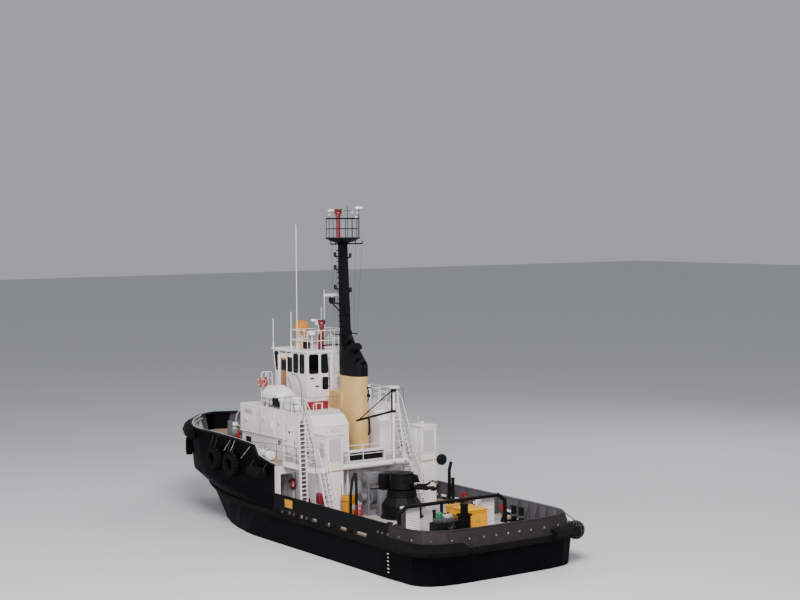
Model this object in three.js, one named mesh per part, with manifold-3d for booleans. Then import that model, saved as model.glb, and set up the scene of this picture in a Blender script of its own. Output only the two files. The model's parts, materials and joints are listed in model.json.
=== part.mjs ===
// A harbour tugboat with two steerable thrusters, 33.9 m long over its fenders.
// Millimetres. +X is forward, +Y is port and +Z is up. The origin is amidships on the waterline.
import * as THREE from "three";
import { mergeVertices } from "three/addons/utils/BufferGeometryUtils.js";
import Module from "manifold-3d";

const wasm = await Module();
wasm.setup();

// Heights above the waterline
const KEEL = -3600;
const DECK = 1750;
const RAIL = 2850;
const SLAB_UNDER = 4450;
const FORECASTLE = 4500;
const BOAT_DECK = 4770;
const BOW_RAIL = 5700;
const HOUSE_ROOF = 7550;
const BRIDGE_FLOOR = 8500;
const BRIDGE_EAVE = 10850;
const BRIDGE_ROOF = 11000;
const FUNNEL_TOP = 9650;
const MAST_FOOT = 12300;
const MAST_HEAD = 17900;

// Places along the boat
const BREAK_X = -900;
const HOUSE_AFT_X = -3300;
const SLAB_AFT_X = -4400;
const HOUSE_FRONT_X = 5700;

// Half-breadths of the houses, and the bridge's plan
const HOUSE_HALF = 3800;
const MAIN_HOUSE_HALF = 3750;
const WING_HALF = 4650;
const WING_AFT_X = -4540;
const BRIDGE = { aft: 1000, front: 4850, rakedFront: 5150, sill: 9450, half: 1720, wall: 80 };

const PLATE = 60;
const SEAT_GAP = 0.3;
const RUN_GAP = 8;
const SHAFT_RADIUS = 120;

// A faceted shaft turns freely in a bore of this radius with the same number of sides.
const runningBore = (radius, sides) => (radius + SEAT_GAP) / Math.cos(Math.PI / sides);

// Finishes: colour, roughness, metalness
const FINISHES = {
  hullBlack: ["#1c1c20", 0.6, 0.1],
  sternGrey: ["#4a4548", 0.7, 0.1],
  rubber: ["#17171a", 0.9, 0],
  white: ["#d9cdd0", 0.5, 0],
  buff: ["#cfae7a", 0.5, 0],
  black: ["#26262c", 0.55, 0.1],
  grey: ["#77767a", 0.6, 0.2],
  red: ["#a02a35", 0.5, 0],
  orange: ["#e09a2b", 0.55, 0],
  yellow: ["#dfa51c", 0.5, 0],
  door: ["#9a6a45", 0.55, 0],
  glass: ["#2a2f30", 0.1, 0],
  bronze: ["#8a6a3c", 0.35, 0.8],
};

const boat = new THREE.Group();

// A closed three.js geometry as a solid, after an optional placement.
function solid(geometry, matrix) {
  const bare = geometry.index ? geometry.clone() : geometry;
  bare.deleteAttribute("normal");
  bare.deleteAttribute("uv");
  const merged = mergeVertices(bare, 1e-3);
  if (matrix) merged.applyMatrix4(matrix);
  return new wasm.Manifold(
    new wasm.Mesh({
      numProp: 3,
      vertProperties: merged.attributes.position.array,
      triVerts: new Uint32Array(merged.index.array),
    }),
  );
}

// Several solids joined into one.
function join(...solids) {
  return solids.flat(Infinity).reduce((whole, next) => whole.add(next));
}

// A solid with several others cut from it.
function cut(body, ...tools) {
  return tools.flat(Infinity).reduce((rest, tool) => rest.subtract(tool), body);
}

// Adds one named mesh to a group. The solid is in the group's frame.
function add(name, body, finish, group = boat) {
  const mesh = body.getMesh();
  const geometry = new THREE.BufferGeometry();
  geometry.setAttribute("position", new THREE.BufferAttribute(mesh.vertProperties, mesh.numProp));
  geometry.setIndex(new THREE.BufferAttribute(mesh.triVerts, 1));
  const [color, roughness, metalness] = FINISHES[finish];
  const piece = new THREE.Mesh(geometry, new THREE.MeshStandardMaterial({ color, roughness, metalness }));
  piece.name = name;
  group.add(piece);
}

// A group that stands at a joint's pivot.
function pivot(x, y, z, parent = boat) {
  const group = new THREE.Group();
  group.position.set(x, y, z);
  parent.add(group);
  return group;
}

function box(x0, x1, y0, y1, z0, z1) {
  const place = new THREE.Matrix4().makeTranslation((x0 + x1) / 2, (y0 + y1) / 2, (z0 + z1) / 2);
  return solid(new THREE.BoxGeometry(x1 - x0, y1 - y0, z1 - z0), place);
}

// The same box on both sides of the centreline.
function twinBox(x0, x1, y0, y1, z0, z1) {
  return [box(x0, x1, y0, y1, z0, z1), box(x0, x1, -y1, -y0, z0, z1)];
}

// three.js turns its cylinders and lathes about Y.
const UPRIGHT = new THREE.Vector3(0, 1, 0);
const FULL_SIZE = new THREE.Vector3(1, 1, 1);

// A straight rod or cone between two points.
function rod(from, to, radius, sides = 8, endRadius = radius) {
  const start = new THREE.Vector3(...from);
  const end = new THREE.Vector3(...to);
  const along = end.clone().sub(start);
  const turn = new THREE.Quaternion().setFromUnitVectors(UPRIGHT, along.clone().normalize());
  const place = new THREE.Matrix4().compose(start.add(end).multiplyScalar(0.5), turn, FULL_SIZE);
  return solid(new THREE.CylinderGeometry(endRadius, radius, along.length(), sides), place);
}

// Rods end to end through a list of points, each run on a little so that the bends close.
function pipe(points, radius, sides = 6) {
  const runs = points.slice(1).map((point, i) => {
    const a = new THREE.Vector3(...points[i]);
    const b = new THREE.Vector3(...point);
    const over = b.clone().sub(a).setLength(radius * 0.6);
    const start = i > 0 ? a.clone().sub(over) : a;
    const end = i < points.length - 2 ? b.clone().add(over) : b;
    return rod(start.toArray(), end.toArray(), radius, sides);
  });
  return join(runs);
}

// A flat outline of [x, z] points run across the boat from y0 to y1.
function sidePlate(outline, y0, y1) {
  const shape = new THREE.Shape(outline.map(([x, z]) => new THREE.Vector2(x, z)));
  const geometry = new THREE.ExtrudeGeometry(shape, { depth: y1 - y0, bevelEnabled: false });
  const place = new THREE.Matrix4().makeRotationX(Math.PI / 2).setPosition(0, y1, 0);
  return solid(geometry, place);
}

// A flat outline of [x, y] points raised from z0 to z1.
function planPlate(outline, z0, z1) {
  const shape = new THREE.Shape(outline.map(([x, y]) => new THREE.Vector2(x, y)));
  const geometry = new THREE.ExtrudeGeometry(shape, { depth: z1 - z0, bevelEnabled: false });
  return solid(geometry, new THREE.Matrix4().makeTranslation(0, 0, z0));
}

// A turned piece: [radius, height] points about an axis through a place.
function turned(profile, place, axis, sides) {
  const geometry = new THREE.LatheGeometry(profile.map(([r, h]) => new THREE.Vector2(r, h)), sides);
  const turn = new THREE.Quaternion().setFromUnitVectors(UPRIGHT, new THREE.Vector3(...axis));
  const matrix = new THREE.Matrix4().compose(new THREE.Vector3(...place), turn, FULL_SIZE);
  return solid(geometry, matrix);
}

// The hull's form, one row per level. Each level is a plan outline: straight sides with a
// superellipse at each end, whose power says how square it is.
// z, transom x, quarter x, half-breadth, shoulder x, stem x, stern power, bow power
const FORM = [
  [KEEL, -1500, 1500, 2600, 1900, 9000, 2.0, 1.7],
  [-3200, -3400, -300, 4000, 800, 10200, 2.2, 1.7],
  [-2500, -7500, -4500, 4700, 600, 11000, 2.4, 1.6],
  [-1500, -12500, -9200, 4950, 800, 11700, 2.8, 1.6],
  [-600, -15800, -12600, 5200, 1000, 12200, 4.0, 1.55],
  [0, -16300, -13100, 5330, 1300, 12600, 5.0, 1.55],
  [DECK, -16550, -13200, 5380, -1000, 14600, 5.0, 1.75],
  [RAIL, -16350, -12950, 5200, 6560, 15050, 4.2, 1.9],
  [FORECASTLE, -16200, -12900, 5220, 8600, 16200, 4.2, 1.45],
  [BOW_RAIL, -16100, -12900, 5240, 8700, 16400, 4.2, 1.45],
];
const BOW_STEPS = 9;
const STERN_STEPS = 6;

// One level's closed outline, anticlockwise from the stem, moved out by `grow`.
function outline([, transom, quarter, half, shoulder, stem, sternPower, bowPower], grow) {
  const side = [];
  for (let i = 0; i <= BOW_STEPS; i++) {
    const t = (Math.PI / 2) * (1 - i / BOW_STEPS);
    const x = shoulder + (stem - shoulder) * Math.sin(t) ** (2 / bowPower);
    side.push([x, half * Math.abs(Math.cos(t)) ** (2 / bowPower)]);
  }
  for (let i = 0; i <= STERN_STEPS; i++) {
    const t = (Math.PI / 2) * (i / STERN_STEPS);
    const x = quarter - (quarter - transom) * Math.sin(t) ** (2 / sternPower);
    side.push([x, half * Math.abs(Math.cos(t)) ** (2 / sternPower)]);
  }
  side[0][1] = 0;
  side[side.length - 1][1] = 0;
  const starboard = side.slice(1, -1).reverse().map(([x, y]) => [x, -y]);
  return grown([...side, ...starboard], grow);
}

// A closed anticlockwise outline moved out along its corners' normals.
function grown(points, grow) {
  const count = points.length;
  return points.map((point, i) => {
    const before = points[(i + count - 1) % count];
    const after = points[(i + 1) % count];
    const a = new THREE.Vector2(point[1] - before[1], before[0] - point[0]).normalize();
    const b = new THREE.Vector2(after[1] - point[1], point[0] - after[0]).normalize();
    const normal = a.clone().add(b).normalize();
    const reach = grow / Math.max(0.5, normal.dot(a));
    return [point[0] + normal.x * reach, point[1] + normal.y * reach];
  });
}

// Closed outlines with the same number of points, joined level by level into one solid.
function loft(rings, heights) {
  const count = rings[0].length;
  const positions = rings.flatMap((ring, r) => ring.flatMap(([x, y]) => [x, y, heights[r]]));
  const faces = [];
  for (let r = 0; r < rings.length - 1; r++) {
    for (let i = 0; i < count; i++) {
      const a = r * count + i;
      const b = r * count + ((i + 1) % count);
      faces.push(a, b, b + count, a, b + count, a + count);
    }
  }
  const top = (rings.length - 1) * count;
  for (let i = 0; i < count / 2; i++) {
    const [p, q] = [i, i + 1];
    const [s, t] = [(count - i) % count, count - i - 1];
    if (p !== s) faces.push(p, s, t, top + p, top + t, top + s);
    if (q !== t) faces.push(p, t, q, top + p, top + q, top + t);
  }
  const geometry = new THREE.BufferGeometry();
  geometry.setAttribute("position", new THREE.BufferAttribute(new Float32Array(positions), 3));
  geometry.setIndex(faces);
  return solid(geometry);
}

// The whole form between keel and bow rail as one solid, moved out by `grow` in plan.
function form(grow) {
  return loft(FORM.map((level) => outline(level, grow)), FORM.map(([z]) => z));
}

// The outline at any height, between two levels.
function outlineAt(z, grow) {
  const upper = FORM.findIndex((level) => level[0] >= z);
  const low = FORM[Math.max(0, upper - 1)];
  const high = FORM[upper];
  const share = high[0] === low[0] ? 0 : (z - low[0]) / (high[0] - low[0]);
  const a = outline(low, grow);
  const b = outline(high, grow);
  return a.map(([x, y], i) => [x + (b[i][0] - x) * share, y + (b[i][1] - y) * share]);
}

const FAR = 20000;
const ship = form(0);
const shipSkin = form(SEAT_GAP);
const shipInside = form(-PLATE);

// Thrusters
const THRUSTER = { x: -12900, y: 2450, seat: -1900, axle: -3350, nozzleIn: 1150, nozzleOut: 1300 };

function hull() {
  const below = ship.intersect(box(-FAR, FAR, -FAR, FAR, -FAR, DECK));
  const skegSide = [[3000, KEEL], [3000, -2500], [-7000, -1700], [-11200, -1700], [-10600, KEEL]];
  const skeg = sidePlate(skegSide, -150, 150);
  const trunks = [1, -1].map((side) => {
    const y = side * THRUSTER.y;
    return rod([THRUSTER.x, y, THRUSTER.seat], [THRUSTER.x, y, -500], 900, 24);
  });
  add("hull", join(below, skeg, trunks), "hullBlack");
}

function forecastle() {
  const block = ship.intersect(box(BREAK_X, FAR, -FAR, FAR, DECK, FORECASTLE));
  const passages = twinBox(BREAK_X - 10, 1600, MAIN_HOUSE_HALF, 4900, DECK - 10, 4000);
  add("forecastle", cut(block, passages), "hullBlack");
}

// Rail lines of the two bulwarks, as [x, z] points from aft to forward
const MAIN_RAIL_LINE = [[-FAR, RAIL], [BREAK_X, RAIL]];
const BOW_RAIL_LINE = [
  [BREAK_X, FORECASTLE + 60], [-300, 4620], [1100, 4900], [1500, 5480], [3400, 5600], [6000, BOW_RAIL - 1],
  [FAR, BOW_RAIL - 1],
];

// Freeing ports: forward and after end of each, on both sides
const FREEING_PORTS = [
  [-1900, -2900], [-3200, -4300], [-4600, -5800], [-6400, -7200], [-7700, -8900], [-9400, -10900],
];

function bulwarks() {
  const skin = ship.subtract(shipInside);
  const mainSide = sidePlate([[-FAR, DECK], [BREAK_X, DECK], ...[...MAIN_RAIL_LINE].reverse()], -FAR, FAR);
  const ports = FREEING_PORTS.flatMap(([fore, aft]) => twinBox(aft, fore, 4800, 5500, DECK + 40, 2080));
  add("main_bulwark", cut(skin.intersect(mainSide), ports), "sternGrey");
  const bowFoot = [[BREAK_X, FORECASTLE], [FAR, FORECASTLE]];
  const bowSide = sidePlate([...bowFoot, ...[...BOW_RAIL_LINE].reverse()], -FAR, FAR);
  add("bow_bulwark", skin.intersect(bowSide), "hullBlack");
}

// A rubber band round the form, as [height, depth] points from below, kept inside `region`.
function fenderBand(section, region) {
  const rings = section.map(([z, depth]) => outlineAt(z, depth));
  return cut(loft(rings, section.map(([z]) => z)).intersect(region), shipSkin);
}

const STRAKE_SECTION = [[1560, 60], [1620, 170], [1840, 170], [1900, 60]];
const QUARTER_SECTION = [[1580, 150], [1680, 470], [1900, 620], [2120, 470], [2220, 150]];
const BOW_SECTION = [[4920, 120], [5030, 400], [5280, 520], [5530, 400], [5640, 120]];

function fenders() {
  const corners = join(twinBox(-FAR, -12900, 3000, FAR, 1000, 3000));
  const transom = box(-FAR, -14000, -3700, 3700, 1400, 2100);
  const stern = [fenderBand(QUARTER_SECTION, corners), fenderBand(STRAKE_SECTION, transom)];
  add("stern_fender", join(stern), "rubber");
  add("rubbing_strake", fenderBand(STRAKE_SECTION, box(-12600, FAR, -FAR, FAR, 1400, 2100)), "rubber");
  add("bow_fender", fenderBand(BOW_SECTION, box(9500, FAR, -FAR, FAR, 4000, 6500)), "rubber");
}

// Hung fenders on the bow's side: x, height, and the radius of each tyre
const TYRES = [[11300, 4250, 600], [6400, 4110, 790], [4150, 3980, 790]];
const TYRE_WIDTH = 430;
// How far each tyre is set into the side before it is trimmed to fit
const TYRE_SEAT = 40;
const LASHING_Z = 4050;

// The form's port side at a place along the boat: its half-breadth there, and its outward normal.
function sideAt(x, z) {
  const ring = outlineAt(z, 0);
  const i = ring.findIndex(([px], k) => px >= x && ring[k + 1][0] < x);
  const [a, b] = [ring[i], ring[i + 1]];
  const y = a[1] + ((b[1] - a[1]) * (x - a[0])) / (b[0] - a[0]);
  return { y, normal: new THREE.Vector3(b[1] - a[1], a[0] - b[0], 0).normalize() };
}

// Tyres and one roller fender, on a lashing line along the side
function hungFenders(side, name) {
  const tyre = ([x, z, radius]) => {
    const bore = radius * 0.48;
    const edge = TYRE_WIDTH / 2;
    const profile = [
      [bore, -edge], [radius * 0.88, -edge], [radius, -edge / 2],
      [radius, edge / 2], [radius * 0.88, edge], [bore, edge], [bore, -edge],
    ];
    const { y, normal } = sideAt(x, z);
    const out = edge - TYRE_SEAT;
    return turned(profile, [x + normal.x * out, y + normal.y * out, z], normal.toArray(), 18);
  };
  const roller = rod([-100, 5545, 3980], [1500, 5545, 3980], 330, 14);
  const outside = outlineAt(LASHING_Z, 60).map(([x, y]) => [x, y, LASHING_Z]);
  const between = box(-100, 12000, 1000, FAR, 3900, 4200);
  const line = pipe(outside.slice(0, BOW_STEPS + 2), 40, 6).intersect(between);
  const hung = join(TYRES.map(tyre), roller, line);
  add(name, cut(side > 0 ? hung : hung.mirror([0, 1, 0]), shipSkin), "rubber");
}

function mainHouse() {
  const house = box(HOUSE_AFT_X, BREAK_X, -MAIN_HOUSE_HALF, MAIN_HOUSE_HALF, DECK, SLAB_UNDER);
  const doorway = box(HOUSE_AFT_X - 10, HOUSE_AFT_X + 700, -2100, -1000, DECK + 150, 3900);
  add("main_deckhouse", cut(house, doorway), "white");
}

// Vent towers beside the after end of the houses
const TOWER = { aft: -4650, inner: 2780, outer: 3900, top: 6600 };

function ventTowers() {
  for (const [name, side] of [["vent_tower_port", 1], ["vent_tower_starboard", -1]]) {
    const [near, far] = [side * TOWER.inner, side * TOWER.outer].sort((a, b) => a - b);
    const shaft = box(TOWER.aft, HOUSE_AFT_X, near, far, DECK, TOWER.top);
    const mouth = box(TOWER.aft - 10, TOWER.aft + 60, near + 120, far - 120, 4950, TOWER.top - 130);
    add(name, cut(shaft, mouth), "white");
  }
}

// Low hatch trunk on the boat deck, open towards the stern
const HATCH = { aft: -4000, right: -690, left: 2000, top: 5400 };

function boatDeck() {
  const centre = box(SLAB_AFT_X, HOUSE_AFT_X, -1900, TOWER.inner, SLAB_UNDER, BOAT_DECK);
  const forward = box(HOUSE_AFT_X, BREAK_X, -WING_HALF, WING_HALF, SLAB_UNDER, BOAT_DECK);
  const portWing = box(WING_AFT_X, HOUSE_AFT_X, TOWER.outer, WING_HALF, SLAB_UNDER, BOAT_DECK);
  const starboardWing = box(-3900, HOUSE_AFT_X, -WING_HALF, -TOWER.outer, SLAB_UNDER, BOAT_DECK);
  const pillar = box(-4180, -4100, 2130, 2210, DECK, SLAB_UNDER);
  const trunk = box(HATCH.aft, HOUSE_AFT_X, HATCH.right, HATCH.left, BOAT_DECK, HATCH.top);
  const [low, high] = [BOAT_DECK + 60, HATCH.top - 60];
  const mouth = box(HATCH.aft - 10, HATCH.aft + 450, HATCH.right + 90, HATCH.left - 90, low, high);
  const edge = WING_HALF - 50;
  const rails = [
    railing([[SLAB_AFT_X + 60, -1850], [SLAB_AFT_X + 60, 2700]], BOAT_DECK, 1070, 2, 1500),
    railing([[WING_AFT_X + 60, edge], [BREAK_X - 60, edge]], BOAT_DECK, 1070, 3, 1250),
    railing([[-3850, -edge], [BREAK_X - 60, -edge]], BOAT_DECK, 1070, 3, 1500),
  ];
  const hatch = cut(trunk, mouth);
  add("boat_deck", join(centre, forward, portWing, starboardWing, pillar, hatch, rails), "white");
}

// Upper house: the front block, and two casings with a sloping after edge beside the funnel
const CASING_SIDE = [
  [HOUSE_AFT_X, BOAT_DECK], [BREAK_X, BOAT_DECK], [BREAK_X, HOUSE_ROOF], [-2700, HOUSE_ROOF],
  [HOUSE_AFT_X, 6950],
];
const CASINGS = { portInner: 1500, starboardInner: -700, starboardOuter: -1650 };

function upperHouse() {
  const top = box(BREAK_X, HOUSE_FRONT_X, -HOUSE_HALF, HOUSE_HALF, 5850, HOUSE_ROOF);
  const foot = box(BREAK_X, HOUSE_FRONT_X, -HOUSE_HALF + 100, HOUSE_HALF - 100, FORECASTLE, 5850);
  const port = sidePlate(CASING_SIDE, CASINGS.portInner, HOUSE_HALF);
  const starboard = sidePlate(CASING_SIDE, CASINGS.starboardOuter, CASINGS.starboardInner);
  const landing = box(-2700, BREAK_X, -2650, CASINGS.starboardOuter, HOUSE_ROOF - 90, HOUSE_ROOF);
  const whole = join(top, foot, port, starboard, landing);
  add("upper_deckhouse", cut(whole, funnelColumn(SEAT_GAP, HOUSE_ROOF + 10)), "white");
}

// The funnel's column: a rounded plan, a little longer at its foot
const FUNNEL = { x: -1620, long: 1080, wide: 540, power: 3, rake: 60, steps: 7 };
const INTAKE = { aft: -1100, fore: 300, half: 600, top: 8630 };
const TRUNK = { aft: -1000, fore: -420, half: 280 };

function columnPlan(rake = 0, grow = 0) {
  const quarter = [];
  for (let i = 0; i < FUNNEL.steps; i++) {
    const turn = (Math.PI / 2) * (i / FUNNEL.steps);
    const share = (value) => value ** (2 / FUNNEL.power);
    quarter.push([(FUNNEL.long + rake) * share(Math.cos(turn)), FUNNEL.wide * share(Math.sin(turn))]);
  }
  const half = [...quarter, [0, FUNNEL.wide], ...quarter.slice(1).reverse().map(([x, y]) => [-x, y])];
  const whole = [...half, ...half.map(([x, y]) => [-x, -y])];
  return grown(whole.map(([x, y]) => [x + FUNNEL.x - rake, y]), grow);
}

function funnelColumn(grow, top) {
  const whole = loft([columnPlan(FUNNEL.rake, grow), columnPlan(0, grow)], [BOAT_DECK, FUNNEL_TOP]);
  return whole.intersect(box(-FAR, FAR, -FAR, FAR, 0, top));
}

// The point a little way past the end of a line
function extended(from, to, length) {
  const end = new THREE.Vector3(...to);
  return end.clone().sub(new THREE.Vector3(...from)).setLength(length).add(end).toArray();
}

function funnel() {
  const intake = box(INTAKE.aft, INTAKE.fore, -INTAKE.half, INTAKE.half, HOUSE_ROOF, INTAKE.top);
  const trunk = box(TRUNK.aft, TRUNK.fore, -TRUNK.half, TRUNK.half, INTAKE.top - 20, FUNNEL_TOP);
  add("funnel_casing", join(funnelColumn(0, FUNNEL_TOP), intake, trunk), "buff");

  const crownSide = [
    [0, FUNNEL_TOP], [-FAR, FUNNEL_TOP], [-FAR, 10150], [-2650, 10150], [-2500, 10300], [-1990, 10620],
    [-1540, 11060], [-1000, 11560], [-860, 11800], [-700, 12150], [0, 12150],
  ];
  const upright = loft([columnPlan(), columnPlan()], [FUNNEL_TOP, MAST_FOOT]);
  const crown = sidePlate(crownSide, -FAR, FAR).intersect(upright);
  const mastSeat = box(TRUNK.aft, TRUNK.fore, -TRUNK.half, TRUNK.half, FUNNEL_TOP, MAST_FOOT);
  const exhaust = (from, to, radius) => {
    const rounded = rod(to, extended(from, to, radius * 0.6), radius, 14, radius * 0.6);
    return [rod(from, to, radius, 14), rounded];
  };
  const pipes = [
    exhaust([-900, 120, 11480], [-1350, 120, 11850], 200),
    exhaust([-1300, -60, 11000], [-1980, -60, 11380], 230),
    exhaust([-1900, 60, 10550], [-2480, 60, 10800], 110),
  ];
  add("funnel_cap", join(crown, mastSeat, pipes), "black");
}

// The mast: a square taper raked a little forward, its yard, lamps, radar bracket and top platform
const MAST = { footX: -670, headX: -450, foot: 250, head: 210 };
const RADAR = { x: 800, z: 14300, half: 560 };
// Height and side of each lamp
const LAMPS = [[14650, -1], [14850, 1], [16050, 1], [16750, -1], [16820, 1]];
const PLATFORM = { x: -480, radius: 1050, rail: 1200, posts: 8 };

function mast() {
  const square = (x, half) => [[x + half, -half], [x + half, half], [x - half, half], [x - half, -half]];
  const pole = loft([square(MAST.footX, MAST.foot), square(MAST.headX, MAST.head)], [MAST_FOOT, MAST_HEAD]);
  const yard = rod([MAST.headX, -1450, 17570], [MAST.headX, 850, 17570], 40, 6);
  const lamps = LAMPS.map(([z, side]) => [
    rod([MAST.headX, side * 100, z], [MAST.headX, side * 600, z], 35, 6),
    rod([MAST.headX, side * 550, z - 20], [MAST.headX, side * 550, z + 240], 80, 8),
  ]);
  const bracket = [
    box(MAST.footX, RADAR.x + 200, -60, 60, RADAR.z - 420, RADAR.z - 330),
    rod([MAST.footX, 0, RADAR.z - 1200], [RADAR.x, 0, RADAR.z - 370], 45, 6),
    rod([RADAR.x, 0, RADAR.z - 380], [RADAR.x, 0, RADAR.z - 60], 130, 12),
  ];
  add("mast", join(pole, yard, lamps, bracket, mastPlatform()), "black");
}

function mastPlatform() {
  const disc = rod([PLATFORM.x, 0, MAST_HEAD], [PLATFORM.x, 0, MAST_HEAD + 60], PLATFORM.radius, 16);
  const corners = Array.from({ length: PLATFORM.posts }, (_, i) => {
    const turn = ((i + 0.5) / PLATFORM.posts) * 2 * Math.PI;
    const reach = PLATFORM.radius - 50;
    return [PLATFORM.x + reach * Math.cos(turn), reach * Math.sin(turn)];
  });
  const rails = railing([...corners, corners[0]], MAST_HEAD + 20, PLATFORM.rail, 2, 5000);
  const aerial = [
    rod([-1050, -820, MAST_HEAD + 20], [-1050, -820, 19720], 24, 6),
    rod([-1050, -820, 19700], [-1050, -820, 19810], 240, 12, 200),
  ];
  return join(disc, rails, aerial);
}

function radar() {
  const bar = box(-90, 90, -RADAR.half, RADAR.half, 60, 200);
  const scanner = join(rod([0, 0, -60 + SEAT_GAP], [0, 0, 60], 70, 12), bar);
  add("radar_scanner", scanner, "white", pivot(RADAR.x, 0, RADAR.z));
}

// Bridge windows: [low, high] along each wall, all between the same heights
const SIDE_WINDOWS = [[1330, 1850], [2060, 2610], [2800, 3320]];
const AFT_WINDOWS = [[-1580, -930], [-710, -230], [230, 710], [930, 1580]];
const FRONT_WINDOWS = [[-1560, -1000], [-890, -330], [-220, 220], [330, 890], [1000, 1560]];
const WINDOW = { low: 9610, high: 10770 };
const LOW_WINDOW = { near: 230, far: 630, low: 8600, high: 9350 };
// The foremost side window's forward edge leans with the raked front.
const QUARTER_WINDOW = [[4460, WINDOW.low], [4700, WINDOW.low], [4940, WINDOW.high], [4460, WINDOW.high]];
const DOOR = { aft: 3480, fore: 4260, low: BRIDGE_FLOOR + 60, high: 10400 };

function bridgeOutline(inset) {
  return [
    [BRIDGE.aft + inset, HOUSE_ROOF],
    [BRIDGE.front - inset, HOUSE_ROOF],
    [BRIDGE.front - inset, BRIDGE.sill],
    [BRIDGE.rakedFront - inset, BRIDGE_EAVE], [BRIDGE.aft + inset, BRIDGE_EAVE],
  ];
}

function bridge() {
  const { aft, front, rakedFront, half, wall } = BRIDGE;
  const outer = sidePlate(bridgeOutline(0), -half, half);
  const room = sidePlate(bridgeOutline(wall), wall - half, half - wall);
  const cavity = room.intersect(box(-FAR, FAR, -FAR, FAR, BRIDGE_FLOOR, FAR));
  const inner = half - wall;
  const ceiling = box(aft + wall, rakedFront - wall, -inner, inner, BRIDGE_EAVE - 5, BRIDGE_EAVE + 5);
  const { low, high } = WINDOW;
  const holes = [
    SIDE_WINDOWS.map(([a, b]) => box(a, b, -FAR, FAR, low, high)),
    sidePlate(QUARTER_WINDOW, -FAR, FAR),
    AFT_WINDOWS.map(([a, b]) => box(aft - 50, aft + 200, a, b, low, high)),
    box(aft - 50, aft + 200, LOW_WINDOW.near, LOW_WINDOW.far, LOW_WINDOW.low, LOW_WINDOW.high),
    FRONT_WINDOWS.map(([a, b]) => box(front - 300, rakedFront + 50, a, b, low, high)),
    box(DOOR.aft, DOOR.fore, -FAR, FAR, DOOR.low, DOOR.high),
  ];
  add("wheelhouse_shell", cut(outer, cavity, ceiling, holes), "white");
  bridgeRoof();
  glazing();
  bridgeInside();
}

// What stands on the bridge roof outside its railing: the covered light, a lamp and two whips
const COVERED_LIGHT = [3720, 440, 12330];
const ROOF_WHIPS = [[4300, -1400, 13450], [5120, 1690, 12850]];
const WHIP_RADIUS = 28;

function bridgeRoof() {
  const rim = 40;
  const half = BRIDGE.half + rim;
  const foot = BRIDGE_ROOF - 20;
  const [x, y, z] = COVERED_LIGHT;
  const covered = [
    rod([x, y, foot], [x, y, z - 280], 60, 8),
    turned([[0, -330], [300, -300], [460, 0], [300, 300], [0, 330]], COVERED_LIGHT, [0, 0, 1], 14),
  ];
  const lamp = [
    rod([3900, -950, foot], [3900, -950, 12350], 45, 8),
    rod([3750, -950, 12400], [4100, -950, 12470], 180, 12),
  ];
  const whips = ROOF_WHIPS.map(([wx, wy, tip]) => rod([wx, wy, foot], [wx, wy, tip], WHIP_RADIUS, 6));
  const roof = box(BRIDGE.aft - rim, BRIDGE.rakedFront + rim, -half, half, BRIDGE_EAVE, BRIDGE_ROOF);
  add("wheelhouse_roof", join(roof, covered, lamp, whips), "white");
}

// The steering desk along the front, and one seat behind it
function bridgeInside() {
  const deskSide = [[4330, BRIDGE_FLOOR], [4650, BRIDGE_FLOOR], [4650, 9400], [4610, 9450], [4330, 9200]];
  const desk = sidePlate(deskSide, -850, 850);
  const seat = [
    box(2700, 3300, -300, 300, 8900, 9000),
    box(2700, 2820, -300, 300, 9000, 9700),
    box(2950, 3050, -50, 50, BRIDGE_FLOOR, 8950),
    box(2700, 4350, -300, 300, BRIDGE_FLOOR, BRIDGE_FLOOR + 30),
  ];
  add("wheelhouse_console", join(desk, seat), "black");
}

// One band of glass behind the wall's windows, cut away at the doors.
function glazing() {
  const pane = 12;
  const liner = (inset) => {
    const half = BRIDGE.half - inset;
    return sidePlate(bridgeOutline(inset), -half, half);
  };
  const outer = BRIDGE.wall + SEAT_GAP;
  const sheet = cut(liner(outer), liner(outer + pane));
  const band = sheet.intersect(box(-FAR, FAR, -FAR, FAR, WINDOW.low - 60, WINDOW.high + 60));
  const { near, far } = LOW_WINDOW;
  const low = sheet.intersect(box(900, 1300, near - 60, far + 60, LOW_WINDOW.low - 40, WINDOW.low));
  const doors = box(DOOR.aft - 20, DOOR.fore + 40, -FAR, FAR, DOOR.low - 60, DOOR.high + 30);
  add("wheelhouse_glass", cut(join(band, low), doors), "glass");
}

// Bridge doors swing inwards about their forward edge; each hinge barrel lies on the inner wall.
function bridgeDoors() {
  const barrel = 14;
  const leafThick = 45;
  for (const [name, side] of [["wheelhouse_door_port", 1], ["wheelhouse_door_starboard", -1]]) {
    const toWall = barrel + SEAT_GAP;
    const at = pivot(DOOR.fore, side * (BRIDGE.half - BRIDGE.wall - toWall), 0);
    const across = (near, far) => [side * near, side * far].sort((a, b) => a - b);
    const width = DOOR.fore - DOOR.aft;
    const through = across(toWall - 4, toWall + leafThick);
    const leaf = box(-width + RUN_GAP, -RUN_GAP, ...through, DOOR.low + RUN_GAP, DOOR.high - RUN_GAP);
    const hinges = [0.15, 0.85].flatMap((share) => {
      const z = DOOR.low + share * (DOOR.high - DOOR.low);
      const strap = box(-90, 0, ...across(-6, toWall - 2), z - 50, z + 50);
      return [rod([0, 0, z - 60], [0, 0, z + 60], barrel, 8), strap];
    });
    add(name, join(leaf, hinges), "door", at);
  }
}

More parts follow.
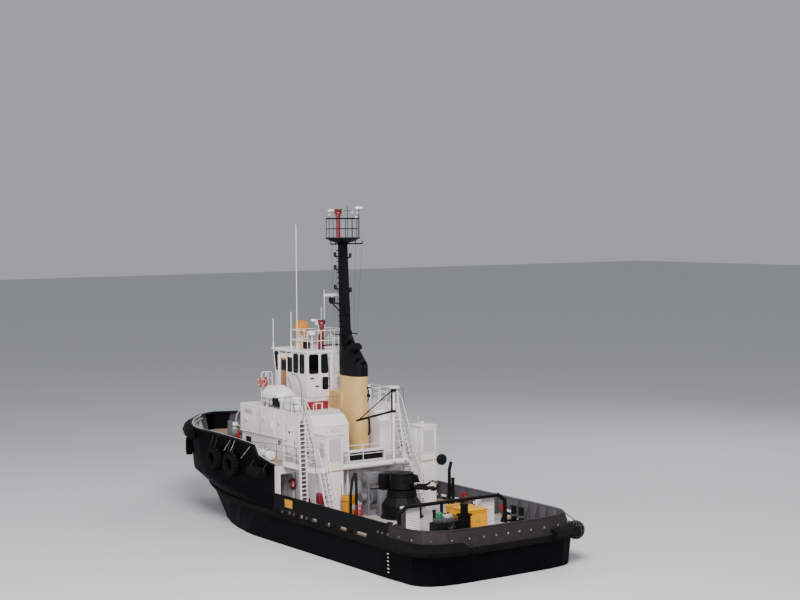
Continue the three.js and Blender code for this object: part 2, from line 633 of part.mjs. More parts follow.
// Railings: square posts and rails along a polyline of [x, y] points
function railing(points, base, height, rails, spacing) {
  const radius = 22;
  const bars = [];
  points.slice(1).forEach(([x1, y1], i) => {
    const [x0, y0] = points[i];
    const steps = Math.max(1, Math.round(Math.hypot(x1 - x0, y1 - y0) / spacing));
    for (let k = i === 0 ? 0 : 1; k <= steps; k++) {
      const [x, y] = [x0 + ((x1 - x0) * k) / steps, y0 + ((y1 - y0) * k) / steps];
      bars.push(rod([x, y, base], [x, y, base + height], radius, 4));
    }
    for (let k = 1; k <= rails; k++) {
      const z = base + (height * k) / rails - radius;
      bars.push(rod([x0, y0, z], [x1, y1, z], radius, 4));
    }
  });
  return join(bars);
}

// The after part of the bridge roof is railed in, with whip antennas on the rails.
const RAILED = { aft: 1060, fore: 3060, port: 1640, starboard: -1300 };
const RAIL_WHIPS = [[3000, RAILED.port, 13350], [2290, RAILED.port, 18750], [RAILED.fore, -850, 14650]];

function roofRailing() {
  const { aft, fore, port, starboard } = RAILED;
  const corners = [[aft, starboard], [fore, starboard], [fore, port], [aft, port], [aft, starboard]];
  const rails = railing(corners, BRIDGE_ROOF, 1250, 2, 1100);
  const whips = RAIL_WHIPS.map(([x, y, tip]) => rod([x, y, BRIDGE_ROOF], [x, y, tip], WHIP_RADIUS, 6));
  add("roof_railing", join(rails, whips), "white");
}

// Inclined ladders: two stringers with treads between them
function ladder(foot, head, width, treads) {
  const [x0, y, z0] = foot;
  const [x1, , z1] = head;
  const half = width / 2;
  const stringers = [-half, half].map((dy) => {
    const deep = 70;
    const edge = [[x0 - deep, z0], [x0 + deep, z0], [x1 + deep, z1], [x1 - deep, z1]];
    return sidePlate(edge, y + dy - 20, y + dy + 20);
  });
  const steps = [];
  for (let k = 1; k <= treads; k++) {
    const share = k / (treads + 1);
    const [x, z] = [x0 + (x1 - x0) * share, z0 + (z1 - z0) * share];
    steps.push(box(x - 90, x + 90, y - half, y + half, z - 15, z + 15));
  }
  return join(stringers, steps);
}

function ladders() {
  add("ladder_port", ladder([-5690, 4200, DECK], [-4610, 4200, BOAT_DECK], 500, 9), "white");
  add("ladder_starboard", ladder([-5450, -2350, DECK], [-3450, -2350, BOAT_DECK], 620, 9), "white");
  const besideWall = HOUSE_HALF + 270;
  const upperPort = ladder([-3230, besideWall, BOAT_DECK], [-2260, besideWall, HOUSE_ROOF], 500, 10);
  add("upper_ladder_port", upperPort, "white");
  const upperStarboard = ladder([-3950, -2200, BOAT_DECK], [-2770, -2200, HOUSE_ROOF], 560, 10);
  add("upper_ladder_starboard", upperStarboard, "white");
  const besideWing = WING_HALF + 220;
  add("gangway", ladder([-3750, besideWing, DECK], [-3480, besideWing, 7500], 400, 22), "white");
}

// Water monitors: a riser, a head that pans on it and a barrel that tilts in the head
function monitor(prefix, x, y, base, pivotZ, length) {
  const riser = join(
    rod([x, y, base], [x, y, pivotZ - 330], 130, 10),
    rod([x, y, pivotZ - 330], [x, y, pivotZ - 260], 190, 10),
  );
  add(prefix + "_riser", riser, "red");
  const head = pivot(x, y, pivotZ);
  const yoke = join(
    rod([0, 0, -260 + SEAT_GAP], [0, 0, -160], 150, 10),
    box(-90, 90, -210, 210, -210, -140),
    twinBox(-90, 90, 150, 210, -140, 100),
  );
  add(prefix + "_head", yoke, "red", head);
  const tube = join(
    rod([0, -150 + SEAT_GAP, 0], [0, 150 - SEAT_GAP, 0], 85, 10),
    rod([-60, 0, 0], [length * 0.6, 0, 0], 75, 10),
    rod([length * 0.6 - 10, 0, 0], [length, 0, 0], 75, 10, 55),
  );
  add(prefix + "_barrel", tube, "red", head);
}

function rooftop() {
  monitor("roof_monitor", 1810, 140, BRIDGE_ROOF, 12750, 1100);
  monitor("mast_monitor", -450, 300, MAST_HEAD + 60, 19600, 1000);
}

function boatsAndRafts() {
  const hullProfile = [[0, 0], [420, 120], [620, 600], [660, 1500], [600, 2300], [380, 2850], [0, 3000]];
  const cover = turned(hullProfile, [900, 2960, 8230], [1, 0, 0], 14);
  const legs = [1500, 3200].map((x) => box(x - 60, x + 60, 2500, 3400, HOUSE_ROOF, 7900));
  add("rescue_boat", join(cover, legs), "white");
  const cradle = [1150, 1850].map((x) => box(x - 50, x + 50, 4150, 4750, FORECASTLE, 4700));
  add("life_raft", join(rod([850, 4450, 4870], [2050, 4450, 4870], 320, 12), cradle), "white");
}

function bin() {
  const profile = [[0, 0], [420, 0], [470, 1100], [500, 1110], [500, 1300], [0, 1330]];
  add("bin", turned(profile, [-5160, 2700, DECK], [0, 0, 1], 14), "yellow");
}

function towWinch() {
  const frame = join(
    box(-5200, -4450, -350, 1450, DECK, DECK + 250),
    box(-5150, -4500, -300, -180, DECK + 250, 3450),
    box(-5150, -4500, 1280, 1400, DECK + 250, 3450),
  );
  const bore = rod([-4820, -400, 2800], [-4820, 1500, 2800], runningBore(SHAFT_RADIUS, 16), 16);
  add("tow_winch_frame", cut(frame, bore), "grey");
  const drum = join(
    rod([0, -850, 0], [0, 870, 0], SHAFT_RADIUS, 16),
    rod([0, -650, 0], [0, 650, 0], 300, 14),
    rod([0, -730 + SEAT_GAP, 0], [0, 730 - SEAT_GAP, 0], 180, 16),
    rod([0, -660, 0], [0, -600, 0], 500, 16),
    rod([0, 600, 0], [0, 660, 0], 500, 16),
    rod([0, 870, 0], [0, 1180, 0], 260, 14),
  );
  add("tow_winch_drum", drum, "grey", pivot(-4820, 550, 2800));
}

function towHook() {
  const profile = [[0, DECK], [1150, DECK], [1150, 2550], [850, 3000], [850, 3380], [0, 3380]];
  add("hook_pedestal", turned(profile, [-6600, 0, 0], [0, 0, 1], 20), "black");
  const hook = join(
    rod([0, 0, SEAT_GAP], [0, 0, 330], 330, 14),
    rod([0, 0, 165], [-1650, 0, 165], 130, 8),
    rod([-1650, -40, 165], [-1950, -280, 165], 110, 8),
    rod([-1950, -280, 165], [-2150, 0, 165], 90, 8),
  );
  const swing = pivot(-6600, 0, 3380);
  swing.rotation.z = 0.5;
  add("tow_hook", hook, "black", swing);
}

// The towing arch: half of its [y, z] line, and where its posts stand
const ARCH = { x: -11600, line: [[3720, DECK], [3640, 3080], [3180, 3400]], posts: [800, -650] };

function towingArch() {
  const port = ARCH.line.map(([y, z]) => [ARCH.x, y, z]);
  const starboard = ARCH.line.map(([y, z]) => [ARCH.x, -y, z]).reverse();
  const bend = pipe([...port, ...starboard], 110, 8);
  const [portPost, starboardPost] = ARCH.posts;
  const posts = [
    rod([ARCH.x, portPost, DECK], [ARCH.x, portPost, 3350], 90, 8),
    rod([ARCH.x, starboardPost, 3050 + SEAT_GAP], [ARCH.x, starboardPost, 3350], 90, 8),
  ];
  const arch = cut(bend, box(-FAR, FAR, -FAR, FAR, 0, DECK));
  add("towing_arch", join(arch, posts), "black");
}

function sternGear() {
  const [ventPort, ventStarboard] = twinBox(-11400, -10800, 2150, 3050, DECK, 3290);
  add("deck_vent_port", ventPort, "white");
  add("deck_vent_starboard", ventStarboard, "white");
  add("power_pack", box(-13000, -10900, -1300, 0, DECK, 3050), "orange");

  for (const [name, side] of [["bitts_port", 1], ["bitts_starboard", -1]]) {
    const y = side * 4300;
    const base = box(-12600, -11300, y - 250, y + 250, DECK, DECK + 100);
    const bollards = [-11600, -12300].map((x) => rod([x, y, DECK + 50], [x, y, 2600], 150, 12));
    add(name, join(base, bollards), "black");
  }
  const squareBitt = join(
    box(-13600, -13100, 300, 800, DECK, 2900),
    box(-13650, -13050, 250, 850, 2900, 3000),
    box(-13500, -13200, 400, 700, 3000, 3550),
  );
  add("square_bitt", squareBitt, "black");
}

// Bent vent pipes at the forward end of the aft deck
function goosenecks() {
  const bends = [
    pipe([[-6200, 2900, DECK], [-6200, 2900, 3400], [-6100, 2850, 4100], [-5800, 2700, 4450]], 90, 8),
    pipe([[-5900, 3100, DECK], [-5900, 3100, 3300], [-5850, 2950, 4100], [-5750, 2700, 4450]], 80, 8),
  ];
  add("gooseneck_port", join(bends), "black");
  const starboard = pipe([[-5300, -4400, DECK], [-5300, -4400, 3900], [-5350, -4500, 4400]], 100, 8);
  add("gooseneck_starboard", starboard, "black");
}

function bowDeck() {
  const frame = join(
    box(8800, 10400, -1500, 1500, FORECASTLE, FORECASTLE + 200),
    box(9200, 10000, -1400, -1280, FORECASTLE + 200, 5700),
    box(9200, 10000, 1280, 1400, FORECASTLE + 200, 5700),
    box(11800, 12300, -350, 350, FORECASTLE, 5600),
    box(10300, 11900, -300, 300, FORECASTLE, FORECASTLE + 60),
    box(12200, 12700, -1000, 1000, FORECASTLE, FORECASTLE + 60),
    twinBox(12400, 12650, 700, 950, FORECASTLE, 5500),
  );
  const bore = rod([9600, -1600, 5200], [9600, 1600, 5200], runningBore(SHAFT_RADIUS, 16), 16);
  add("bow_winch_frame", cut(frame, bore), "grey");
  const drum = join(
    rod([0, -1700, 0], [0, 1700, 0], SHAFT_RADIUS, 16),
    rod([0, -1100, 0], [0, 1100, 0], 300, 16),
    rod([0, -1280 + SEAT_GAP, 0], [0, 1280 - SEAT_GAP, 0], 180, 16),
    rod([0, -1160, 0], [0, -1100, 0], 460, 16),
    rod([0, 1100, 0], [0, 1160, 0], 460, 16),
  );
  add("bow_winch_drum", drum, "grey", pivot(9600, 0, 5200));
}

// Derrick: a post on the boat deck aft of the funnel, and a triangular jib that slews about it
const DERRICK = { x: -4210, y: -1110, radius: 80, low: 7620, high: 8870, tip: 7260, reach: 2650 };
const COLLAR = { half: 80, radius: 140 };
const DERRICK_HEAD = { half: 250, low: 9000, high: 9140 };

function derrick() {
  const { x, y, radius, low, high, tip, reach } = DERRICK;
  const seat = low - COLLAR.half - SEAT_GAP;
  const { half, low: headLow, high: headHigh } = DERRICK_HEAD;
  const post = join(
    rod([x, y, BOAT_DECK], [x, y, headLow + 20], radius, 12),
    rod([x, y, seat - 60], [x, y, seat], COLLAR.radius, 12),
    box(x - half, x + half, y - half, y + half, headLow, headHigh),
    rod([x, y - half + 20, headLow + 20], [x - 40, -1840, BOAT_DECK], 50, 8),
    rod([x + half - 20, y, headLow + 20], [-3450, y - 190, BOAT_DECK], 50, 8),
  );
  const deckAndBelow = box(-FAR, FAR, -FAR, FAR, 0, BOAT_DECK);
  add("derrick_post", cut(post, deckAndBelow), "white");
  const collars = [low, high].map((z) => {
    return rod([0, 0, z - COLLAR.half], [0, 0, z + COLLAR.half], COLLAR.radius, 12);
  });
  const frame = join(
    collars,
    box(-35, 35, 100, 170, low - COLLAR.half, high + COLLAR.half),
    rod([0, 120, low], [0, reach, tip], 70, 8),
    rod([0, 120, high], [0, reach - 150, tip + 30], 35, 6),
  );
  const bore = rod([0, 0, low - 200], [0, 0, high + 200], runningBore(radius, 12), 12);
  const slew = pivot(x, y, 0);
  add("derrick_jib", cut(frame, bore), "black", slew);
}

// Propeller blade: [radius, half chord] points from root to tip
const BLADE = [[130, 110], [500, 320], [850, 360], [1040, 240], [1110, 0]];
const BLADE_PITCH = 0.6;

// One thruster: a leg that turns about the vertical, its nozzle, and the propeller inside
function thruster(side, suffix) {
  const depth = THRUSTER.axle - THRUSTER.seat;
  const at = pivot(THRUSTER.x, side * THRUSTER.y, THRUSTER.seat);
  const [inner, outer] = [THRUSTER.nozzleIn, THRUSTER.nozzleOut];
  const section = [
    [inner, -450], [outer - 60, -500], [outer, -250], [outer, 350], [outer - 40, 500], [inner + 60, 500],
    [inner, 200], [inner, -450],
  ];
  const nozzle = turned(section, [-550, 0, depth], [1, 0, 0], 24);
  const foil = [[450, 0], [300, 140], [-100, 160], [-150, 0], [-100, -160], [300, -140]];
  const leg = planPlate(foil, depth, -150);
  const pod = rod([-380, 0, depth], [650, 0, depth], 300, 14, 220);
  const head = [rod([0, 0, -160], [0, 0, -RUN_GAP], 800, 20), rod([0, 0, -20], [0, 0, -SEAT_GAP], 400, 20)];
  const clearance = rod([-1050, 0, depth], [-380, 0, depth], inner - 20, 24);
  add("thruster_" + suffix, join(cut(join(leg, pod, head), clearance), nozzle), "bronze", at);

  const wheel = new THREE.Group();
  wheel.position.set(-550, 0, depth);
  at.add(wheel);
  const hub = rod([-280, 0, 0], [170 - SEAT_GAP, 0, 0], 150, 14, 230);
  const blades = [0, 1, 2, 3].map((k) => {
    const half = BLADE.map(([radius, chord]) => new THREE.Vector2(chord, radius));
    const otherHalf = half.slice(0, -1).reverse().map(({ x, y }) => new THREE.Vector2(-x, y));
    const shape = new THREE.Shape([...half, ...otherHalf]);
    const blade = new THREE.ExtrudeGeometry(shape, { depth: 50, bevelEnabled: false });
    const place = new THREE.Matrix4()
      .makeRotationX((k * Math.PI) / 2)
      .multiply(new THREE.Matrix4().makeRotationY(Math.PI / 2 + BLADE_PITCH))
      .multiply(new THREE.Matrix4().makeTranslation(0, 0, -25));
    return solid(blade, place);
  });
  add("propeller_" + suffix, join(hub, blades), "bronze", wheel);
}

hull();
forecastle();
bulwarks();
fenders();
hungFenders(1, "tyre_fenders_port");
hungFenders(-1, "tyre_fenders_starboard");
mainHouse();
ventTowers();
boatDeck();
upperHouse();
funnel();
mast();
radar();
bridge();
bridgeDoors();
roofRailing();
ladders();
rooftop();
boatsAndRafts();
bin();
towWinch();
towHook();
towingArch();
sternGear();
goosenecks();
bowDeck();
derrick();
thruster(1, "port");
thruster(-1, "starboard");

export default boat;
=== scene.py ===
"""Harbour tugboat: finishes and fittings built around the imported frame, seen from the port quarter."""

from __future__ import annotations

import json
import logging
import math
from dataclasses import dataclass, replace
from enum import Enum
from typing import Iterable, Iterator, Sequence

import bmesh
import bpy
from mathutils import Matrix, Vector
from mathutils.bvhtree import BVHTree

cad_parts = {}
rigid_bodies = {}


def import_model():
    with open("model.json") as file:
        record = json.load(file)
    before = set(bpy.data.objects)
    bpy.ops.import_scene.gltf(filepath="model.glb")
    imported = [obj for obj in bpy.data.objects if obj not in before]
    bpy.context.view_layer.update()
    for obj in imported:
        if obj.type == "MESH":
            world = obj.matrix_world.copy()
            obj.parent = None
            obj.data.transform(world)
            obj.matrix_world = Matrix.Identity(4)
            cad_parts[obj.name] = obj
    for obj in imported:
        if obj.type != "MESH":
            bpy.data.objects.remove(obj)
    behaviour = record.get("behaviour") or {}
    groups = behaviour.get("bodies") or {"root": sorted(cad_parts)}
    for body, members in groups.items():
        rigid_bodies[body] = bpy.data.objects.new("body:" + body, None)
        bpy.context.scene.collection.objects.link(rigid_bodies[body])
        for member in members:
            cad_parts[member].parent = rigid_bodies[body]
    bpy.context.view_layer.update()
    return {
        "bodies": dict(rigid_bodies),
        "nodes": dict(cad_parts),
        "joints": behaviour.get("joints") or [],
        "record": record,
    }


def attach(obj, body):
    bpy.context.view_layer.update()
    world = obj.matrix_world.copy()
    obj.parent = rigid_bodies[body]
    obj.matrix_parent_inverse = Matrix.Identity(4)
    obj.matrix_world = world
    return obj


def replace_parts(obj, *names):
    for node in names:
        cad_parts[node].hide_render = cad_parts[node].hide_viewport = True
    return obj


log = logging.getLogger("tugboat")

Point = Sequence[float]
Socket = bpy.types.NodeSocket
Tree = bpy.types.NodeTree
Value = Socket | float | Sequence[float]
BOAT = "boat"
SMOOTH_LIMIT = math.radians(38)
UP = Vector((0, 0, 1))
AHEAD = Vector((1, 0, 0))
AFT = Vector((-1, 0, 0))
TO_PORT = Vector((0, 1, 0))
PORT_AND_STARBOARD = (1, -1)
NAMED_SIDES = ((1, "port"), (-1, "starboard"))

# Levels of the boat in metres above the waterline, and the main stations along it
AFT_DECK = 1.75
MAIN_RAIL = 2.85
FORECASTLE_DECK = 4.5
BOAT_DECK_UNDER = 4.45
BOAT_DECK = 4.77
BOW_RAIL = 5.7
HOUSE_ROOF = 7.55
BRIDGE_ROOF = 11.0
BREAK_X = -0.9
HOUSE_AFT_X = -3.3
HOUSE_FRONT_X = 5.7
HOUSE_HALF = 3.8

# Where the noise of each layer of wear starts to show, and where it shows in full
PATCHES_FROM_TO = (0.42, 0.68)
RUNS_FROM_TO = (0.55, 0.78)
CHIPS_FROM_TO = (0.6, 0.69)
MIDDLE_OF_NOISE = (0.3, 0.7)
ZONE_MOTTLE = (0.86, 1.06)
UPWARD = 0.7
HULL_MIDDLE = (-6.0, 0.0, 0.0)
ROUNDING_STEPS = 2


def linear(colour: str) -> tuple[float, float, float, float]:
    """Turns an sRGB hex colour into the linear values that shaders take.

    Args:
        colour: Six hex digits after a hash sign.

    Returns:
        Red, green, blue and full alpha.
    """
    values = [int(colour[i : i + 2], 16) / 255 for i in (1, 3, 5)]
    turned = [v / 12.92 if v <= 0.04045 else ((v + 0.055) / 1.055) ** 2.4 for v in values]
    return (*turned, 1.0)


def add_node(tree: Tree, kind: str, inputs: dict | None = None, **settings) -> bpy.types.Node:
    """Adds one node to a tree with its settings, values and links.

    Args:
        tree: The material's node tree.
        kind: The node's type name, without the words ShaderNode.
        inputs: Value, or the socket to link, for each input name or number.
        **settings: The node's own properties.

    Returns:
        The new node.
    """
    node = tree.nodes.new(f"ShaderNode{kind}")
    for name, value in settings.items():
        setattr(node, name, value)
    for name, value in (inputs or {}).items():
        if isinstance(value, Socket):
            tree.links.new(value, node.inputs[name])
        else:
            node.inputs[name].default_value = value
    return node


def noise(tree: Tree, where: Socket, scale: float, detail: float, roughness: float = 0.5) -> Socket:
    """Adds fractal noise and returns its strength."""
    inputs = {"Vector": where, "Scale": scale, "Detail": detail, "Roughness": roughness}
    return add_node(tree, "TexNoise", inputs).outputs["Fac"]


def ranged(tree: Tree, value: Socket, old: tuple[float, float], new: tuple[float, float]) -> Socket:
    """Adds a map of a value from one range to another."""
    inputs = {"Value": value, "From Min": old[0], "From Max": old[1], "To Min": new[0], "To Max": new[1]}
    return add_node(tree, "MapRange", inputs).outputs["Result"]


def reckon(tree: Tree, operation: str, *values: Value) -> Socket:
    """Adds a sum on numbers."""
    return add_node(tree, "Math", dict(enumerate(values)), operation=operation).outputs[0]


def reckon_vector(tree: Tree, operation: str, *values: Value) -> bpy.types.Node:
    """Adds a sum on vectors and returns its node."""
    return add_node(tree, "VectorMath", dict(enumerate(values)), operation=operation)


def bump(tree: Tree, height: Socket, strength: float, depth_mm: float, **inputs: Socket) -> Socket:
    """Adds relief of some depth and returns its normal."""
    values = {"Height": height, "Strength": strength, "Distance": depth_mm / 1000, **inputs}
    return add_node(tree, "Bump", values).outputs["Normal"]


def blend(tree: Tree, share: Value, first: Value, second: Value) -> Socket:
    """Adds a mix of two colours: the first where the share is zero, the second where it is one."""
    node = add_node(tree, "Mix", {0: share}, data_type="RGBA")
    for socket, value in ((node.inputs[6], first), (node.inputs[7], second)):
        if isinstance(value, Socket):
            tree.links.new(value, socket)
        else:
            socket.default_value = value
    return node.outputs[2]


def directions(count: int, start: float = 0.0) -> Iterator[tuple[float, float]]:
    """Yields the cosine and sine of evenly spaced directions, from a starting angle."""
    for k in range(count):
        turn = start + 2 * math.pi * k / count
        yield math.cos(turn), math.sin(turn)


def level(direction: Vector) -> Vector:
    """Returns a direction laid level, with length one."""
    return Vector((direction.x, direction.y, 0)).normalized()


def beside(out: Vector) -> Vector:
    """Returns the level direction a quarter turn from another."""
    return Vector((-out.y, out.x, 0))


def patch(at: Vector, along: Vector, half_wide: float, half_tall: float) -> list[Vector]:
    """Returns the corners of an upright rectangle about a place."""
    return [at + along * half_wide * a + UP * half_tall * b for a, b in ((-1, -1), (1, -1), (1, 1), (-1, 1))]


def side_on(y: float, x0: float, x1: float, z0: float, z1: float) -> list[Point]:
    """Returns the corners of an upright rectangle that runs fore and aft."""
    return [(x0, y, z0), (x1, y, z0), (x1, y, z1), (x0, y, z1)]


def athwart(x: float, y0: float, y1: float, z0: float, z1: float) -> list[Point]:
    """Returns the corners of an upright rectangle that runs across the boat."""
    return [(x, y0, z0), (x, y1, z0), (x, y1, z1), (x, y0, z1)]


class Facing(Enum):
    """Which faces a zone of colour covers."""

    ANY = "any"
    UP = "up"
    INBOARD = "inboard"


@dataclass(frozen=True)
class Zone:
    """A part of a node in another colour, between two corners in the row frame.

    Attributes:
        low: Lowest corner in metres.
        high: Highest corner in metres.
        colour: The colour there.
        facing: Which faces take it.
    """

    low: Point
    high: Point
    colour: str
    facing: Facing = Facing.ANY


@dataclass(frozen=True)
class Finish:
    """A painted, moulded or bare surface with the wear that the real one shows.

    Attributes:
        name: What the material is and how its surface was made.
        slot: The record's slot that it stands for; not used.
        colour: Its own colour.
        tone: A second tone in broad patches.
        tone_share: How strongly the patches show.
        run: Colour of the runs that rain leaves below edges.
        run_share: How strongly the runs show.
        chip: Colour under chips and scuffs.
        chip_share: How strongly the chips show.
        roughness: Microfacet roughness.
        metallic: One for bare metal.
        grain_mm: Size of the surface's grain.
        grain_depth_mm: Height of the grain.
        dents_mm: Height of the slow unevenness of welded plate.
        coat: Weight of a clear coat.
        gloss: Strength of the surface's own reflection.
        zones: Parts in another colour.
    """

    name: str
    slot: str
    colour: str
    tone: str
    tone_share: float = 0.5
    run: str = "#6b4a34"
    run_share: float = 0.0
    chip: str = "#5a4034"
    chip_share: float = 0.0
    roughness: float = 0.5
    metallic: float = 0.0
    grain_mm: float = 6.0
    grain_depth_mm: float = 0.4
    dents_mm: float = 0.0
    coat: float = 0.0
    gloss: float = 0.5
    zones: tuple[Zone, ...] = ()

    def material(self) -> bpy.types.Material:
        """Returns this finish's material, built once."""
        found = bpy.data.materials.get(self.name)
        if found is not None:
            return found
        made = bpy.data.materials.new(self.name)
        made.use_nodes = True
        tree = made.node_tree
        tree.nodes.clear()
        where = add_node(tree, "TexCoord").outputs["Object"]
        shader = add_node(tree, "BsdfPrincipled", self._surface(tree, where))
        add_node(tree, "OutputMaterial", {"Surface": shader.outputs[0]})
        return made

    def _surface(self, tree: Tree, where: Socket) -> dict[str, Value]:
        """Returns the shader's inputs: layered colour, uneven roughness and relief."""
        patches = noise(tree, where, 0.7, 5.0, 0.62)
        share = ranged(tree, patches, PATCHES_FROM_TO, (0.0, self.tone_share))
        colour = blend(tree, share, linear(self.colour), linear(self.tone))
        colour = self._zoned(tree, where, colour)
        if self.run_share > 0:
            drawn = add_node(tree, "Mapping", {"Vector": where, "Scale": (5.0, 5.0, 0.45)}).outputs[0]
            share = ranged(tree, noise(tree, drawn, 1.6, 6.0), RUNS_FROM_TO, (0.0, self.run_share))
            colour = blend(tree, share, colour, linear(self.run))
        if self.chip_share > 0:
            share = ranged(tree, noise(tree, where, 4.5, 9.0, 0.72), CHIPS_FROM_TO, (0.0, self.chip_share))
            colour = blend(tree, share, colour, linear(self.chip))
        rough = (self.roughness - 0.08, min(1.0, self.roughness + 0.1))
        return {
            "Base Color": colour, "Roughness": ranged(tree, patches, MIDDLE_OF_NOISE, rough),
            "Metallic": self.metallic, "Coat Weight": self.coat, "Coat Roughness": 0.15,
            "Specular IOR Level": self.gloss, "Normal": self._relief(tree, where),
        }

    def _zoned(self, tree: Tree, where: Socket, colour: Socket) -> Socket:
        """Returns the colour with each zone laid over it."""
        if not self.zones:
            return colour
        axes = add_node(tree, "SeparateXYZ", {0: where}).outputs
        surface = add_node(tree, "NewGeometry").outputs["True Normal"]
        upward = add_node(tree, "SeparateXYZ", {0: surface}).outputs[2]
        mottled = ranged(tree, noise(tree, where, 3.0, 6.0), MIDDLE_OF_NOISE, ZONE_MOTTLE)
        for zone in self.zones:
            mask: Value = 1.0
            for axis, low, high in zip(axes, zone.low, zone.high):
                inside = reckon(tree, "COMPARE", axis, (low + high) / 2, (high - low) / 2)
                mask = reckon(tree, "MULTIPLY", mask, inside)
            if zone.facing is Facing.UP:
                mask = reckon(tree, "MULTIPLY", mask, reckon(tree, "GREATER_THAN", upward, UPWARD))
            if zone.facing is Facing.INBOARD:
                centred = reckon_vector(tree, "SUBTRACT", where, HULL_MIDDLE).outputs[0]
                flat = reckon_vector(tree, "MULTIPLY", centred, (1.0, 1.0, 0.0)).outputs[0]
                outward = reckon_vector(tree, "DOT_PRODUCT", flat, surface).outputs["Value"]
                mask = reckon(tree, "MULTIPLY", mask, reckon(tree, "LESS_THAN", outward, 0.0))
            inputs = {0: linear(zone.colour)[:3], "Scale": mottled}
            own = add_node(tree, "VectorMath", inputs, operation="SCALE").outputs[0]
            colour = blend(tree, mask, colour, own)
        return colour

    def _relief(self, tree: Tree, where: Socket) -> Socket:
        """Returns the normal with the grain and the slow dents of plate."""
        fine = bump(tree, noise(tree, where, 1000 / self.grain_mm, 3.0), 0.6, self.grain_depth_mm)
        if self.dents_mm <= 0:
            return fine
        return bump(tree, noise(tree, where, 1.3, 1.0), 0.8, self.dents_mm, Normal=fine)


@dataclass(frozen=True)
class Glazing(Finish):
    """Toughened window glass: a smooth pane that shows the sky as a sheen, tinted near black as painted shade
    for the dim room behind it.
    """

    def _surface(self, tree: Tree, where: Socket) -> dict[str, Value]:
        """Returns the glass's inputs: a tint with a faint film."""
        tint = blend(tree, noise(tree, where, 2.0, 4.0), linear(self.colour), linear(self.tone))
        return {"Base Color": tint, "Roughness": self.roughness, "IOR": 1.5, "Transmission Weight": 0.75}


@dataclass(frozen=True)
class RopeLay(Finish):
    """Laid rope: strands drawn as slanting bands in Object coordinates, with their shadowed grooves."""

    def _surface(self, tree: Tree, where: Socket) -> dict[str, Value]:
        """Returns the rope's inputs: its strands in colour and relief."""
        inputs = {"Vector": where, "Scale": 1000 / self.grain_mm / 6.28, "Distortion": 1.5}
        strands = add_node(tree, "TexWave", inputs, bands_direction="DIAGONAL").outputs["Fac"]
        return {
            "Base Color": blend(tree, strands, linear(self.tone), linear(self.colour)),
            "Roughness": self.roughness, "Normal": bump(tree, strands, 0.8, self.grain_depth_mm),
            "Sheen Weight": 0.2,
        }


